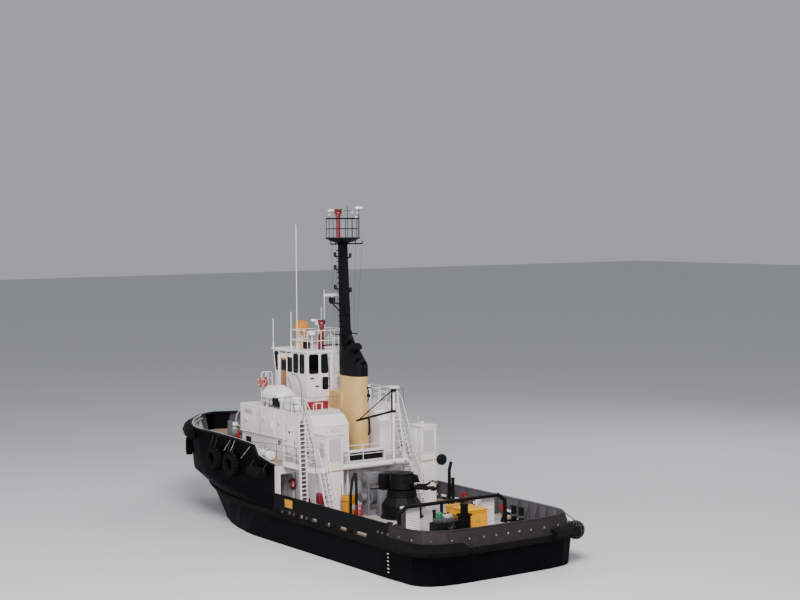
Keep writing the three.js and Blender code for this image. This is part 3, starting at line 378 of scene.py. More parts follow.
class Shape:
    """One piece in the making: bmesh operators add forms to it, and each form has its finish."""

    def __init__(self, name: str, finish: Finish | None = None) -> None:
        """Starts an empty piece, with the finish of the forms that name none."""
        self.name = name
        self.finish = finish
        self.mesh = bmesh.new()
        self.finishes: list[Finish] = []
        self._carrier = bpy.data.meshes.new(name + ".carrier")

    def _take(self, form: bmesh.types.BMesh, finish: Finish | None, place: Matrix | None = None) -> None:
        """Moves a finished form into the piece and frees it.

        Args:
            form: The form, in its own place.
            finish: What it is made of, if not the piece's own finish.
            place: Where it goes, if it isn't there yet.
        """
        finish = finish or self.finish
        if finish not in self.finishes:
            self.finishes.append(finish)
        index = self.finishes.index(finish)
        for face in form.faces:
            face.material_index = index
            face.smooth = True
        if place is not None:
            form.transform(place)
        form.to_mesh(self._carrier)
        form.free()
        self.mesh.from_mesh(self._carrier)

    @staticmethod
    def _round(form: bmesh.types.BMesh, radius: float) -> None:
        """Rounds every edge of a form."""
        if radius > 0:
            bmesh.ops.bevel(
                form, geom=form.edges[:], offset=radius, segments=ROUNDING_STEPS, profile=0.5, affect="EDGES",
                material=-1,
            )

    def block(
        self, corner: Point, other: Point, round_edge: float = 0.0, finish: Finish | None = None,
        turn: Matrix | None = None,
    ) -> None:
        """Adds a block between any two opposite corners, with rounded edges, turned about its centre.

        Args:
            corner: One corner.
            other: The corner across from it.
            round_edge: Radius of the edges.
            finish: What it is made of.
            turn: Rotation about the centre.
        """
        low, high = Vector(map(min, corner, other)), Vector(map(max, corner, other))
        form = bmesh.new()
        bmesh.ops.create_cube(form, size=1.0, matrix=Matrix.Diagonal((*(high - low), 1.0)))
        self._round(form, round_edge)
        place = Matrix.Translation((low + high) / 2)
        self._take(form, finish, place @ turn.to_4x4() if turn is not None else place)

    def rod(
        self, start: Point, end: Point, radius: float, sides: int = 8, finish: Finish | None = None,
        tip: float | None = None,
    ) -> None:
        """Adds a round bar or cone between two points.

        Args:
            start: Centre of the first end.
            end: Centre of the other end.
            radius: Radius at the first end.
            sides: Faces round it.
            finish: What it is made of.
            tip: Radius at the other end, if it differs.
        """
        start, end = Vector(start), Vector(end)
        form = bmesh.new()
        bmesh.ops.create_cone(
            form, cap_ends=True, segments=sides, radius1=radius, radius2=radius if tip is None else tip,
            depth=(end - start).length,
        )
        turn = (end - start).to_track_quat("Z", "Y").to_matrix().to_4x4()
        self._take(form, finish, Matrix.Translation((start + end) / 2) @ turn)

    def tube(
        self, points: Iterable[Point], radius: float, sides: int = 8, finish: Finish | None = None,
        loop: bool = False,
    ) -> None:
        """Adds a bent bar through points, with a ring at each and the rings bridged.

        Args:
            points: The line that it follows.
            radius: Its radius.
            sides: Faces round it.
            finish: What it is made of.
            loop: Whether the last point joins the first.
        """
        line = [Vector(p) for p in points]
        form = bmesh.new()
        rings = []
        count = len(line)
        for i, at in enumerate(line):
            before = line[i - 1] if i or loop else at
            after = line[(i + 1) % count] if i < count - 1 or loop else at
            along = (after - before).normalized()
            side = along.cross(UP if abs(along.z) < 0.95 else Vector((0, 1, 0))).normalized()
            turn = Matrix((side, along.cross(side), along)).transposed().to_4x4()
            made = bmesh.ops.create_circle(
                form, segments=sides, radius=radius, cap_ends=False, matrix=Matrix.Translation(at) @ turn
            )["verts"]
            rings.append(list({edge for vert in made for edge in vert.link_edges}))
        pairs = zip(rings, rings[1:] + rings[:1]) if loop else zip(rings, rings[1:])
        for first, second in pairs:
            bmesh.ops.bridge_loops(form, edges=first + second)
        if not loop:
            for ring in (rings[0], rings[-1]):
                bmesh.ops.contextual_create(form, geom=ring)
        bmesh.ops.recalc_face_normals(form, faces=form.faces[:])
        self._take(form, finish)

    def lathe(
        self, profile: Iterable[tuple[float, float]], origin: Point, axis: Point, sides: int = 24,
        finish: Finish | None = None,
    ) -> None:
        """Spins a profile about an axis.

        Args:
            profile: Pairs of radius and distance along the axis; a closed one repeats its first pair.
            origin: Where the distance is zero.
            axis: Direction of the axis.
            sides: Steps round it.
            finish: What it is made of.
        """
        form = bmesh.new()
        verts = [form.verts.new((radius, 0, along)) for radius, along in profile]
        for first, second in zip(verts, verts[1:]):
            form.edges.new((first, second))
        bmesh.ops.spin(
            form, geom=form.verts[:] + form.edges[:], cent=(0, 0, 0), axis=(0, 0, 1), angle=2 * math.pi,
            steps=sides, use_merge=True,
        )
        bmesh.ops.remove_doubles(form, verts=form.verts[:], dist=1e-5)
        bmesh.ops.recalc_face_normals(form, faces=form.faces[:])
        turn = Vector(axis).to_track_quat("Z", "Y").to_matrix().to_4x4()
        self._take(form, finish, Matrix.Translation(Vector(origin)) @ turn)

    def disc(
        self, at: Point, axis: Point, radius: float, thick: float, sides: int = 24,
        finish: Finish | None = None,
    ) -> None:
        """Adds a round disc that stands on a place."""
        self.lathe([(0, 0), (radius, 0), (radius, thick), (0, thick)], at, axis, sides, finish)

    def ring(
        self, centre: Point, axis: Point, radius: float, thick: float, sides: int = 24, minor: int = 8,
        finish: Finish | None = None,
    ) -> None:
        """Adds a round ring: a circle of that thickness spun about the axis."""
        steps = [2 * math.pi * k / minor for k in range(minor + 1)]
        profile = [(radius + thick * math.cos(t), thick * math.sin(t)) for t in steps]
        self.lathe(profile, centre, axis, sides, finish)

    def ball(self, centre: Point, size: Point, rings: int = 8, finish: Finish | None = None) -> None:
        """Adds a rounded form with three half sizes."""
        form = bmesh.new()
        bmesh.ops.create_uvsphere(
            form, u_segments=rings * 2, v_segments=rings, radius=1.0,
            matrix=Matrix.Translation(Vector(centre)) @ Matrix.Diagonal((*size, 1.0)),
        )
        self._take(form, finish)

    def plate(
        self, outline: Iterable[Point], through: Point, round_edge: float = 0.0, finish: Finish | None = None
    ) -> None:
        """Adds a flat plate: an outline extruded along a vector.

        Args:
            outline: Corners in order.
            through: The extrusion, whose length is the thickness.
            round_edge: Radius of its edges.
            finish: What it is made of.
        """
        form = bmesh.new()
        face = form.faces.new([form.verts.new(p) for p in outline])
        made = bmesh.ops.extrude_face_region(form, geom=[face])["geom"]
        moved = [v for v in made if isinstance(v, bmesh.types.BMVert)]
        bmesh.ops.translate(form, vec=Vector(through), verts=moved)
        self._round(form, round_edge)
        bmesh.ops.recalc_face_normals(form, faces=form.faces[:])
        self._take(form, finish)

    def build(self, body: str = BOAT) -> bpy.types.Object:
        """Makes the piece one object that rides on a body.

        Args:
            body: The body's name in the frame.

        Returns:
            The object, at the origin with its place in its mesh.
        """
        for edge in self.mesh.edges:
            if len(edge.link_faces) == 2 and edge.calc_face_angle(0.0) > SMOOTH_LIMIT:
                edge.smooth = False
        data = bpy.data.meshes.new(self.name)
        self.mesh.to_mesh(data)
        self.mesh.free()
        bpy.data.meshes.remove(self._carrier)
        for finish in self.finishes:
            data.materials.append(finish.material())
        made = bpy.data.objects.new(self.name, data)
        bpy.context.scene.collection.objects.link(made)
        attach(made, body)
        log.info("%s rides on %s with %d faces", self.name, body, len(data.polygons))
        return made


class HullForm:
    """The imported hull's skin, probed for the places where fittings sit on it."""

    CENTRE_X = -12.0
    FAR = 30.0

    def __init__(self, nodes: dict[str, bpy.types.Object]) -> None:
        """Reads the skin's nodes into one search tree."""
        verts: list[Vector] = []
        faces: list[list[int]] = []
        for name in ("hull", "forecastle", "main_bulwark", "bow_bulwark"):
            data = nodes[name].data
            start = len(verts)
            verts += [v.co.copy() for v in data.vertices]
            faces += [[start + i for i in p.vertices] for p in data.polygons]
        self.tree = BVHTree.FromPolygons(verts, faces)

    def side(self, x: float, z: float, side: int) -> tuple[Vector, Vector]:
        """Returns the point and outward normal of the side at a station and height."""
        at, normal, _, _ = self.tree.ray_cast(Vector((x, side * self.FAR, z)), Vector((0, -side, 0)))
        if at is None:
            raise ValueError(f"the side has no skin at x {x:.2f}, z {z:.2f}")
        return at, normal

    def round_stern(self, z: float, turn: float) -> tuple[Vector, Vector]:
        """Returns the point and normal in a direction from the stern's centre, turned from port to aft."""
        out = Vector((-math.sin(turn), math.cos(turn), 0))
        start = Vector((self.CENTRE_X, 0, z)) + out * self.FAR
        at, normal, _, _ = self.tree.ray_cast(start, -out)
        if at is None:
            raise ValueError(f"the stern has no skin at {turn:.2f}, z {z:.2f}")
        return at, normal

    def skirt(self, z: float, forward: float, step: float) -> list[tuple[Vector, Vector]]:
        """Points and normals from a station on the port side round the stern to starboard.

        Args:
            z: Height of the line.
            forward: Its forward end.
            step: Spacing along the sides; the stern has like steps.

        Returns:
            Pairs of point and outward normal.
        """
        count = max(1, round((forward - self.CENTRE_X) / step))
        xs = [forward + (self.CENTRE_X - forward) * k / count for k in range(count + 1)]
        port = [self.side(x, z, 1) for x in xs]
        turns = max(3, round(9.5 / step))
        quarter = [self.round_stern(z, math.pi * k / (2 * turns)) for k in range(1, turns + 1)]
        flip = Vector((1, -1, 1))
        half = port + quarter
        other = [(at * flip, normal * flip) for at, normal in reversed(half[:-1])]
        return half + other

    def bow_side(
        self, z: float, aft: float, forward: float, side: int, step: float
    ) -> list[tuple[Vector, Vector]]:
        """Points and normals along one side, from aft to forward."""
        count = max(1, round((forward - aft) / step))
        return [self.side(aft + (forward - aft) * k / count, z, side) for k in range(count + 1)]


# Welded steel plate under black alkyd enamel: satin, scuffed by quays, dull red below the water
HULL_BLACK = Finish(
    "black enamel on welded hull plate", "hull_black", "#050507", "#0c0c0f", 0.7, "#161311", 0.35, "#211e1c",
    0.3, 0.55, gloss=0.03, grain_mm=8, grain_depth_mm=0.5, dents_mm=14,
    zones=(
        Zone((-20, -8, -6), (20, 8, -0.25), "#57231f"),
        Zone((-20, -8, AFT_DECK - 0.05), (BREAK_X + 0.1, 8, AFT_DECK + 0.05), "#a79f9d", Facing.UP),
        Zone((-12, 4.6, AFT_DECK - 0.05), (BREAK_X, 6, AFT_DECK + 0.05), "#a28c70", Facing.UP),
        Zone((-12, -6, AFT_DECK - 0.05), (BREAK_X, -4.6, AFT_DECK + 0.05), "#a28c70", Facing.UP),
    ),
)
# The forecastle's side is the same black; its deck is tan non-slip paint
FORECASTLE_BLACK = replace(
    HULL_BLACK, name="black enamel on forecastle plate", run_share=0.3, chip_share=0.25,
    zones=(
        Zone(
            (BREAK_X - 0.5, -6, FORECASTLE_DECK - 0.05), (17, 6, FORECASTLE_DECK + 0.05), "#a08b78", Facing.UP
        ),
        Zone((BREAK_X - 0.2, -5.2, 1.7), (1.7, 5.2, 4.49), "#c9bfc0", Facing.INBOARD),
    ),
)
# Main bulwark: scuffed black enamel outside, grey inside; the lighter, browner stern is painted light on the
# same black
BULWARK_BLACK_LIT_STERN = Finish(
    "grey enamel on bulwark plate", "stern_grey", "#070709", "#100f12", 0.6, "#1c1816", 0.4, "#2c2724", 0.3,
    0.6, gloss=0.1, grain_mm=8, grain_depth_mm=0.5, dents_mm=12,
    zones=(
        # Painted light: the stern's faces, in the same black paint, drawn lighter where they face the light
        Zone((-18, -8, 1.6), (-12.9, 8, 3.1), "#2d2828"),
        Zone((-16.3, -8, 1.6), (0, 8, 3.1), "#5f5d62", Facing.INBOARD),
    ),
)
BOW_BULWARK_BLACK = replace(
    FORECASTLE_BLACK, name="black enamel on bow bulwark plate", dents_mm=10,
    zones=(Zone((-1, -8, 4.4), (15.8, 8, 5.72), "#4c4a4e", Facing.INBOARD),),
)
# Extruded fender rubber, chalky where quays rub it
FENDER_RUBBER = Finish(
    "extruded fender rubber", "rubber", "#0c0b0d", "#171516", 0.8, "#231f1d", 0.3, "#38332f", 0.35, 0.8,
    gloss=0.06, grain_mm=20, grain_depth_mm=1.5, dents_mm=20,
)
# Old tyre rubber: matt, grey with salt in the grooves
TYRE_RUBBER = Finish(
    "worn tyre rubber", "tyre", "#0d0c0d", "#181615", 0.8, "#201d1b", 0.2, "#2c2826", 0.2, 0.85, gloss=0.08,
    grain_mm=15, grain_depth_mm=1.0,
)
# Superstructure: brushed white marine enamel with faint rust runs
WHITE_PAINT = Finish(
    "white enamel on welded plate", "white", "#dcd3d4", "#cdc4c6", 0.6, "#a58a78", 0.16, "#a98f80", 0.1, 0.42,
    grain_depth_mm=0.25, dents_mm=7,
)
DARK_STEEL = Finish(
    "dark grey enamel on frames in shade", "grey", "#4a484c", "#3a383c", 0.7, "#5c4a3e", 0.2, "#5f5148", 0.2,
    0.55, gloss=0.25,
)
WHITE_DECKS = replace(
    WHITE_PAINT, name="white enamel on houses with grey deck paint", roughness=0.45,
    zones=(Zone((-5, -5, BOAT_DECK - 0.04), (0, 5, BOAT_DECK + 0.04), "#aaa4a8", Facing.UP),),
)
WHITE_TRIM = Finish(
    "white enamel on small fittings", "white", "#e0d8d8", "#cfc6c6", 0.5, "#9a7c68", 0.12, "#8f7565", 0.16,
    0.4, grain_depth_mm=0.2,
)
WHEELHOUSE_TOP = replace(
    WHITE_TRIM, name="white enamel on the bridge roof and its orange cover",
    zones=(Zone((3.2, -0.1, 11.95), (4.3, 1.0, 12.8), "#dc8f26"),),
)
BUFF_PAINT = Finish(
    "buff enamel on funnel plate", "buff", "#c9a468", "#ba955a", 0.7, "#8d6a45", 0.14, "#8a6a4c", 0.08, 0.4,
    grain_depth_mm=0.25, dents_mm=6,
)
BLACK_PAINT = Finish(
    "black enamel on deck fittings", "black", "#0b0b0d", "#151518", 0.6, "#2a231f", 0.2, "#382f2a", 0.2, 0.5,
    gloss=0.12,
)
FUNNEL_BLACK = Finish(
    "heat-proof black on funnel and mast", "black", "#0c0c0f", "#151519", 0.5, "#1e1b19", 0.2, "#2a2623",
    0.12, 0.55, gloss=0.1, dents_mm=5,
)
GREY_PAINT = Finish(
    "grey enamel on machinery", "grey", "#6b6a6e", "#58565a", 0.7, "#5c4a3e", 0.3, "#4f443d", 0.2, 0.45
)
PALE_GREY = Finish(
    "pale grey enamel", "grey", "#aaa6aa", "#97939a", 0.7, "#74665e", 0.2, "#6c5e55", 0.15, 0.5
)
# The monitors take a darker copy of the fire gear's red: partly their own deeper red, partly painted shade on
# their round forms
MONITOR_RED = Finish(
    "deep red enamel on water monitors", "red", "#6d0f1a", "#560b14", 0.5, "#3f1712", 0.15, "#4a221c", 0.12,
    0.4, grain_mm=5, grain_depth_mm=0.2,
)
LIFEBUOY_ORANGE = Finish(
    "orange lifebuoy shell", "orange", "#b9441a", "#a03a17", 0.5, grain_mm=5, grain_depth_mm=0.2
)
RED_PAINT = Finish(
    "red enamel on fire gear", "red", "#8f0f1b", "#760f19", 0.5, "#4f1a14", 0.12, "#52241e", 0.12, 0.35,
    grain_mm=5, grain_depth_mm=0.2, coat=0.2,
)
ORANGE_PAINT = Finish(
    "orange enamel on casing", "orange", "#dc9a0c", "#c4880c", 0.6, "#7b5226", 0.25, "#6b4a2c", 0.2, 0.45,
    grain_depth_mm=0.3, dents_mm=4,
)
YELLOW_PLASTIC = Finish(
    "moulded yellow polyethylene", "yellow", "#bd7f00", "#a66f02", 0.5, "#8a6a24", 0.12, "#7a6228", 0.1, 0.5,
    grain_mm=3, grain_depth_mm=0.15,
)
WHITE_MOULDING = Finish(
    "gelcoat on glass-fibre", "white_plastic", "#e6e0e0", "#d5cece", 0.5, "#a59488", 0.12, "#a09084", 0.08,
    0.28, grain_mm=40, grain_depth_mm=0.2, coat=0.3,
)
VARNISHED_DOOR = Finish(
    "varnished teak door", "door", "#9a6a45", "#80532f", 0.8, "#6a4426", 0.2, "#5c3c22", 0.1, 0.35,
    grain_mm=9, grain_depth_mm=0.3, coat=0.4,
)
# Painted shade: the glass's near-black tint stands in for the dim rooms behind the panes, portholes and door
# lights
WINDOW_GLASS = Glazing("toughened window glass", "glass", "#1b2120", "#121716", roughness=0.04)
GASKET = Finish(
    "black window rubber", "black", "#0c0c0e", "#161618", 0.5, roughness=0.7, gloss=0.2, grain_depth_mm=0.2
)
BRONZE = Finish(
    "cast bronze", "bronze", "#8b6c3e", "#6e5632", 0.7, "#4e5a40", 0.2, "#5c5130", 0.2, 0.42, metallic=0.9,
    grain_mm=10, grain_depth_mm=0.5,
)
BARE_STEEL = Finish(
    "rubbed bare steel", "grey", "#a19d98", "#7d6a5a", 0.7, "#6b4630", 0.4, "#5d4030", 0.3, 0.42, metallic=0.7
)
RUSTY_STEEL = Finish(
    "rusted steel", "stern_grey", "#6d4a38", "#4d3a32", 0.8, "#7c4a2c", 0.4, "#3a2c28", 0.4, 0.8, grain_mm=8,
    grain_depth_mm=0.9,
)
WORN_BAND = Finish(
    "rubbed steel band under old black paint", "rubber", "#2b292b", "#423e3c", 0.7, "#6b4a38", 0.35,
    "#77706b", 0.4, 0.6, grain_mm=8, grain_depth_mm=0.6,
)
GALVANISED_CHAIN = Finish(
    "galvanised chain", "grey", "#2f2d2c", "#242120", 0.8, "#7a543c", 0.3, "#5c4a40", 0.3, 0.55, metallic=0.6,
    grain_mm=20, grain_depth_mm=2.0,
)
LAMP_GLASS = Finish(
    "moulded lamp lens", "glass", "#b9bfc2", "#8f9699", 0.4, roughness=0.12, grain_mm=12, coat=0.6
)
ORANGE_COVER = Finish(
    "moulded orange cover", "orange", "#cf7a08", "#b66a08", 0.6, "#8c5a22", 0.15, roughness=0.6, grain_mm=4
)
WHITE_ROPE = RopeLay(
    "laid white rope", "white", "#d8d2c8", "#8f887c", roughness=0.85, grain_mm=30, grain_depth_mm=6
)
DARK_ROPE = RopeLay(
    "tarred dark rope", "black", "#4a4a4c", "#222224", roughness=0.9, grain_mm=30, grain_depth_mm=6
)
GREEN_PAINT = Finish("green enamel on pump casing", "black", "#1f6a48", "#17503a", 0.5, grain_depth_mm=0.3)


FINISHED_NODES: tuple[tuple[Finish, str], ...] = (
    (HULL_BLACK, "hull"), (FORECASTLE_BLACK, "forecastle"), (BULWARK_BLACK_LIT_STERN, "main_bulwark"),
    (BOW_BULWARK_BLACK, "bow_bulwark"), (FENDER_RUBBER, "stern_fender rubbing_strake bow_fender"),
    (TYRE_RUBBER, "tyre_fenders_port tyre_fenders_starboard"),
    (WHITE_PAINT, "main_deckhouse vent_tower_port vent_tower_starboard upper_deckhouse wheelhouse_shell"),
    (WHITE_DECKS, "boat_deck"), (BUFF_PAINT, "funnel_casing"), (FUNNEL_BLACK, "funnel_cap mast"),
    (WHITE_MOULDING, "radar_scanner rescue_boat life_raft"), (WHEELHOUSE_TOP, "wheelhouse_roof"),
    (WINDOW_GLASS, "wheelhouse_glass"),
    (
        BLACK_PAINT,
        "wheelhouse_console hook_pedestal tow_hook towing_arch bitts_port bitts_starboard square_bitt "
        "gooseneck_port gooseneck_starboard derrick_jib",
    ),
    (VARNISHED_DOOR, "wheelhouse_door_port wheelhouse_door_starboard"),
    (
        WHITE_TRIM,
        "roof_railing ladder_port ladder_starboard upper_ladder_port upper_ladder_starboard gangway "
        "deck_vent_port deck_vent_starboard derrick_post",
    ),
    (
        MONITOR_RED,
        "roof_monitor_riser roof_monitor_head roof_monitor_barrel "
        "mast_monitor_riser mast_monitor_head mast_monitor_barrel",
    ),
    (YELLOW_PLASTIC, "bin"), (GREY_PAINT, "tow_winch_frame tow_winch_drum bow_winch_frame bow_winch_drum"),
    (ORANGE_PAINT, "power_pack"),
    (BRONZE, "thruster_port thruster_starboard propeller_port propeller_starboard"),
)


def dress_nodes(nodes: dict[str, bpy.types.Object]) -> None:
    """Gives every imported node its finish.

    Args:
        nodes: The frame's nodes by name.
    """
    finishes = {name: finish for finish, names in FINISHED_NODES for name in names.split()}
    for name, node in nodes.items():
        node.data.materials.clear()
        node.data.materials.append(finishes[name].material())


@dataclass(frozen=True)
class Studio:
    """Pale floor at the waterline, soft light and the camera at the photograph's viewing angle."""

    lens_mm: float = 72.2
    sensor_mm: float = 36.0
    camera_at: tuple[float, float, float] = (-82.75, 52.8, 19.3)
    yaw_deg: float = -34.72
    pitch_deg: float = -3.03
    roll_deg: float = -0.42
    floor_half: float = 400.0
    sky_strength: float = 0.52
    lights: tuple[tuple[str, Point, float, float], ...] = (
        ("key", (-45, 25, 48), 62000, 26), ("fill", (20, 55, 30), 10000, 30),
        ("rim", (10, -50, 40), 9000, 30), ("low port", (-70, 60, 9), 15000, 36),
    )

    def build(self) -> None:
        """Makes the camera, the floor and the lights."""
        self._camera()
        self._floor()
        self._lights()

    def _camera(self) -> None:
        """Points the camera along its yaw and pitch, rolled a little."""
        yaw, pitch, roll = (math.radians(v) for v in (self.yaw_deg, self.pitch_deg, self.roll_deg))
        ahead = Vector((math.cos(yaw) * math.cos(pitch), math.sin(yaw) * math.cos(pitch), math.sin(pitch)))
        right = Vector((math.sin(yaw), -math.cos(yaw), 0))
        top = right.cross(ahead)
        rolled_right = right * math.cos(roll) + top * math.sin(roll)
        rolled_top = top * math.cos(roll) - right * math.sin(roll)
        data = bpy.data.cameras.new("camera")
        data.lens, data.sensor_width = self.lens_mm, self.sensor_mm
        data.clip_start, data.clip_end = 1.0, 2000.0
        camera = bpy.data.objects.new("camera", data)
        turn = Matrix((rolled_right, rolled_top, -ahead)).transposed().to_4x4()
        camera.matrix_world = Matrix.Translation(self.camera_at) @ turn
        bpy.context.scene.collection.objects.link(camera)
        bpy.context.scene.camera = camera

    def _floor(self) -> None:
        """Lays the plain pale floor, marked as no part of the boat."""
        form = bmesh.new()
        bmesh.ops.create_grid(form, x_segments=1, y_segments=1, size=self.floor_half)
        data = bpy.data.meshes.new("floor")
        form.to_mesh(data)
        form.free()
        made = bpy.data.materials.new("pale studio floor")
        made.use_nodes = True
        shader = made.node_tree.nodes["Principled BSDF"]
        shader.inputs["Base Color"].default_value = linear("#c9cccd")
        shader.inputs["Roughness"].default_value = 0.8
        data.materials.append(made)
        floor = bpy.data.objects.new("floor", data)
        bpy.context.scene.collection.objects.link(floor)

    def _lights(self) -> None:
        """Hangs a broad key light high on the port quarter and fills the rest from a pale sky."""
        world = bpy.data.worlds.new("sky")
        world.use_nodes = True
        sky = world.node_tree.nodes["Background"]
        sky.inputs["Color"].default_value = linear("#dfe4e8")
        sky.inputs["Strength"].default_value = self.sky_strength
        bpy.context.scene.world = world
        for name, place, energy, size in self.lights:
            data = bpy.data.lights.new(name, "AREA")
            data.energy, data.size = energy, size
            lamp = bpy.data.objects.new(name, data)
            aim = Vector((-4, 0, 4)) - Vector(place)
            lamp.matrix_world = Matrix.Translation(place) @ aim.to_track_quat("-Z", "Y").to_matrix().to_4x4()
            bpy.context.scene.collection.objects.link(lamp)


@dataclass
class HullFittings:
    """Rails, stays, fender gear, fairleads and marks on the hull and its bulwarks."""

    skin: HullForm
    cap_radius: float = 0.06
    stay_step: float = 0.92
    port_gaps: tuple[float, ...] = (-1.75, -3.05, -4.45, -6.1, -7.45, -9.15)
    last_port: float = -11.0
    stay_depth: float = 0.34
    plate_thick: float = 0.06
    fairlead: tuple[float, float] = (12.6, 5.2)
    bow_rail_line: tuple[tuple[float, float], ...] = (
        (-0.88, 4.56), (-0.3, 4.62), (0.4, 4.75), (1.1, 4.9), (1.32, 5.2), (1.5, 5.47), (2.4, 5.54),
        (3.4, 5.6), (4.7, 5.65), (6.0, 5.69),
    )

    def build(self) -> None:
        """Makes every fitting of the hull."""
        self._main_rail()
        self._bow_rail()
        self._main_stays()
        self._bow_stays()
        self._fender_eyes()
        self._fender_ribs()
        self._fairleads()
        self._marks()

    def _main_rail(self) -> None:
        """Runs a round cap along the main bulwark's top and the stern's."""
        rail = Shape("main_rail_cap", BULWARK_BLACK_LIT_STERN)
        line = [
            at - normal * 0.03 + UP * 0.02
            for at, normal in self.skin.skirt(MAIN_RAIL - 0.02, BREAK_X - 0.05, 0.5)
        ]
        rail.tube(line, self.cap_radius)
        rail.build()

    def _bow_rail(self) -> None:
        """Runs the black rail bar round the bow, with two pale bars inside it."""
        rail = Shape("bow_rail_bars", PALE_GREY)
        for side in PORT_AND_STARBOARD:
            top = []
            for x, z in self.bow_rail_line:
                at, normal = self.skin.side(x, z - 0.05, side)
                top.append((at + UP * 0.02, normal))
            top += self.skin.bow_side(BOW_RAIL - 0.03, 6.8, 15.2, side, 0.7)
            nose = top[-1][0].copy()
            nose.x, nose.y = 15.85, side * 0.25
            line = [at - normal * 0.03 for at, normal in top] + [nose]
            rail.tube([p + UP * 0.02 for p in line], 0.065, finish=BLACK_PAINT)
            rail.tube([at - normal * 0.17 for at, normal in top], 0.06)
            inner = [at - normal * 0.24 - UP * 0.22 for at, normal in top[3:]]
            rail.tube(inner, 0.05)
        rail.build()

    def _main_stays(self) -> None:
        """Stands tapered stays inside the main bulwark, between the freeing ports and abaft them."""
        stays = Shape("bulwark_stays")
        between = [
            self.skin.side(x, MAIN_RAIL - 0.1, side) for x in self.port_gaps for side in PORT_AND_STARBOARD
        ]
        rest = self.skin.skirt(MAIN_RAIL - 0.1, -2.0, self.stay_step)
        for at, normal in between + [place for place in rest if place[0].x < self.last_port]:
            self._stay(stays, at, normal, AFT_DECK, MAIN_RAIL - 0.07, DARK_STEEL)
        stays.build()

    def _bow_stays(self) -> None:
        """Stands the bow bulwark's pale stays round the foredeck."""
        stays = Shape("bow_bulwark_stays")
        for side in PORT_AND_STARBOARD:
            for at, normal in self.skin.bow_side(BOW_RAIL - 0.12, 4.2, 14.9, side, self.stay_step):
                self._stay(stays, at, normal, FORECASTLE_DECK, BOW_RAIL - 0.1, PALE_GREY)
        stays.build()

    def _stay(
        self, stays: Shape, at: Vector, normal: Vector, foot: float, head: float, finish: Finish
    ) -> None:
        """Adds one stay, deep at the deck and narrow at the rail."""
        out = level(normal)
        across = beside(out) * 0.016
        inner = Vector((at.x, at.y, 0)) - out * (self.plate_thick + 0.03)
        low = inner - out * (self.stay_depth + 0.02)
        heel, shoulder = low + UP * (foot + 0.25), inner - out * 0.08 + UP * head
        outline = [low + UP * foot, inner + UP * foot, inner + UP * head, shoulder, heel]
        stays.plate([p - across for p in outline], across * 2, finish=finish)
        flange = across.normalized() * 0.05
        band = [heel - flange, heel + flange, shoulder + flange, shoulder - flange]
        stays.plate(band, -out * 0.012, finish=finish)

    def _fender_eyes(self) -> None:
        """Welds chain eyes above the quarter fenders and along the stern."""
        eyes = Shape("fender_chain_eyes", BARE_STEEL)
        for at, normal in self.skin.skirt(2.36, -12.4, 1.05):
            out = level(normal)
            eyes.ring(at + out * 0.03, beside(out), 0.05, 0.018, 10, 6)
        eyes.build()

    def _fender_ribs(self) -> None:
        """Bands the joints of the quarter fenders."""
        bands = Shape("fender_clamps", FENDER_RUBBER)
        profile = ((1.6, 0.17), (1.7, 0.49), (1.9, 0.635), (2.1, 0.49), (2.2, 0.17))
        for side in PORT_AND_STARBOARD:
            for turn in (0.72, 1.02):
                points = []
                for z, depth in profile:
                    at, normal = self.skin.round_stern(z, turn)
                    out = level(normal)
                    points.append((at + out * depth) * Vector((1, side, 1)))
                bands.tube(points, 0.02, 6)
        bands.build()

    def _fairleads(self) -> None:
        """Frames the oval fairleads in the bow bulwark, each filled with a black plate painted as the shade
        in its opening.
        """
        leads = Shape("fairlead_rings", WORN_BAND)
        x, z = self.fairlead
        for side in PORT_AND_STARBOARD:
            at, normal = self.skin.side(x, z, side)
            along = beside(normal).normalized()
            oval = [at + normal * 0.02 + along * 0.23 * c + UP * 0.13 * s for c, s in directions(16)]
            leads.tube(oval, 0.035, 6, loop=True)
            # Painted shade: a black plate fills the fairlead's opening where its shade would be
            leads.plate([p - normal * 0.01 for p in oval], normal * 0.012, finish=GASKET)
        leads.build()

    def _marks(self) -> None:
        """Paints plain draught ticks on the quarter and fixes a blank yellow plate by the break."""
        marks = Shape("hull_marks", YELLOW_PLASTIC)
        for k in range(6):
            z = 0.35 + k * 0.2
            at, normal = self.skin.side(-13.0, z, 1)
            along = beside(normal).normalized()
            wide = 0.09 if k % 2 else 0.06
            marks.plate(patch(at + normal * 0.002, along, wide, 0.03), normal * 0.004, finish=WHITE_TRIM)
        at, normal = self.skin.side(-2.6, 2.41, 1)
        along = beside(normal).normalized()
        marks.plate(patch(at + normal * 0.004, along, 0.42, 0.33), normal * 0.02, 0.004)
        marks.build()


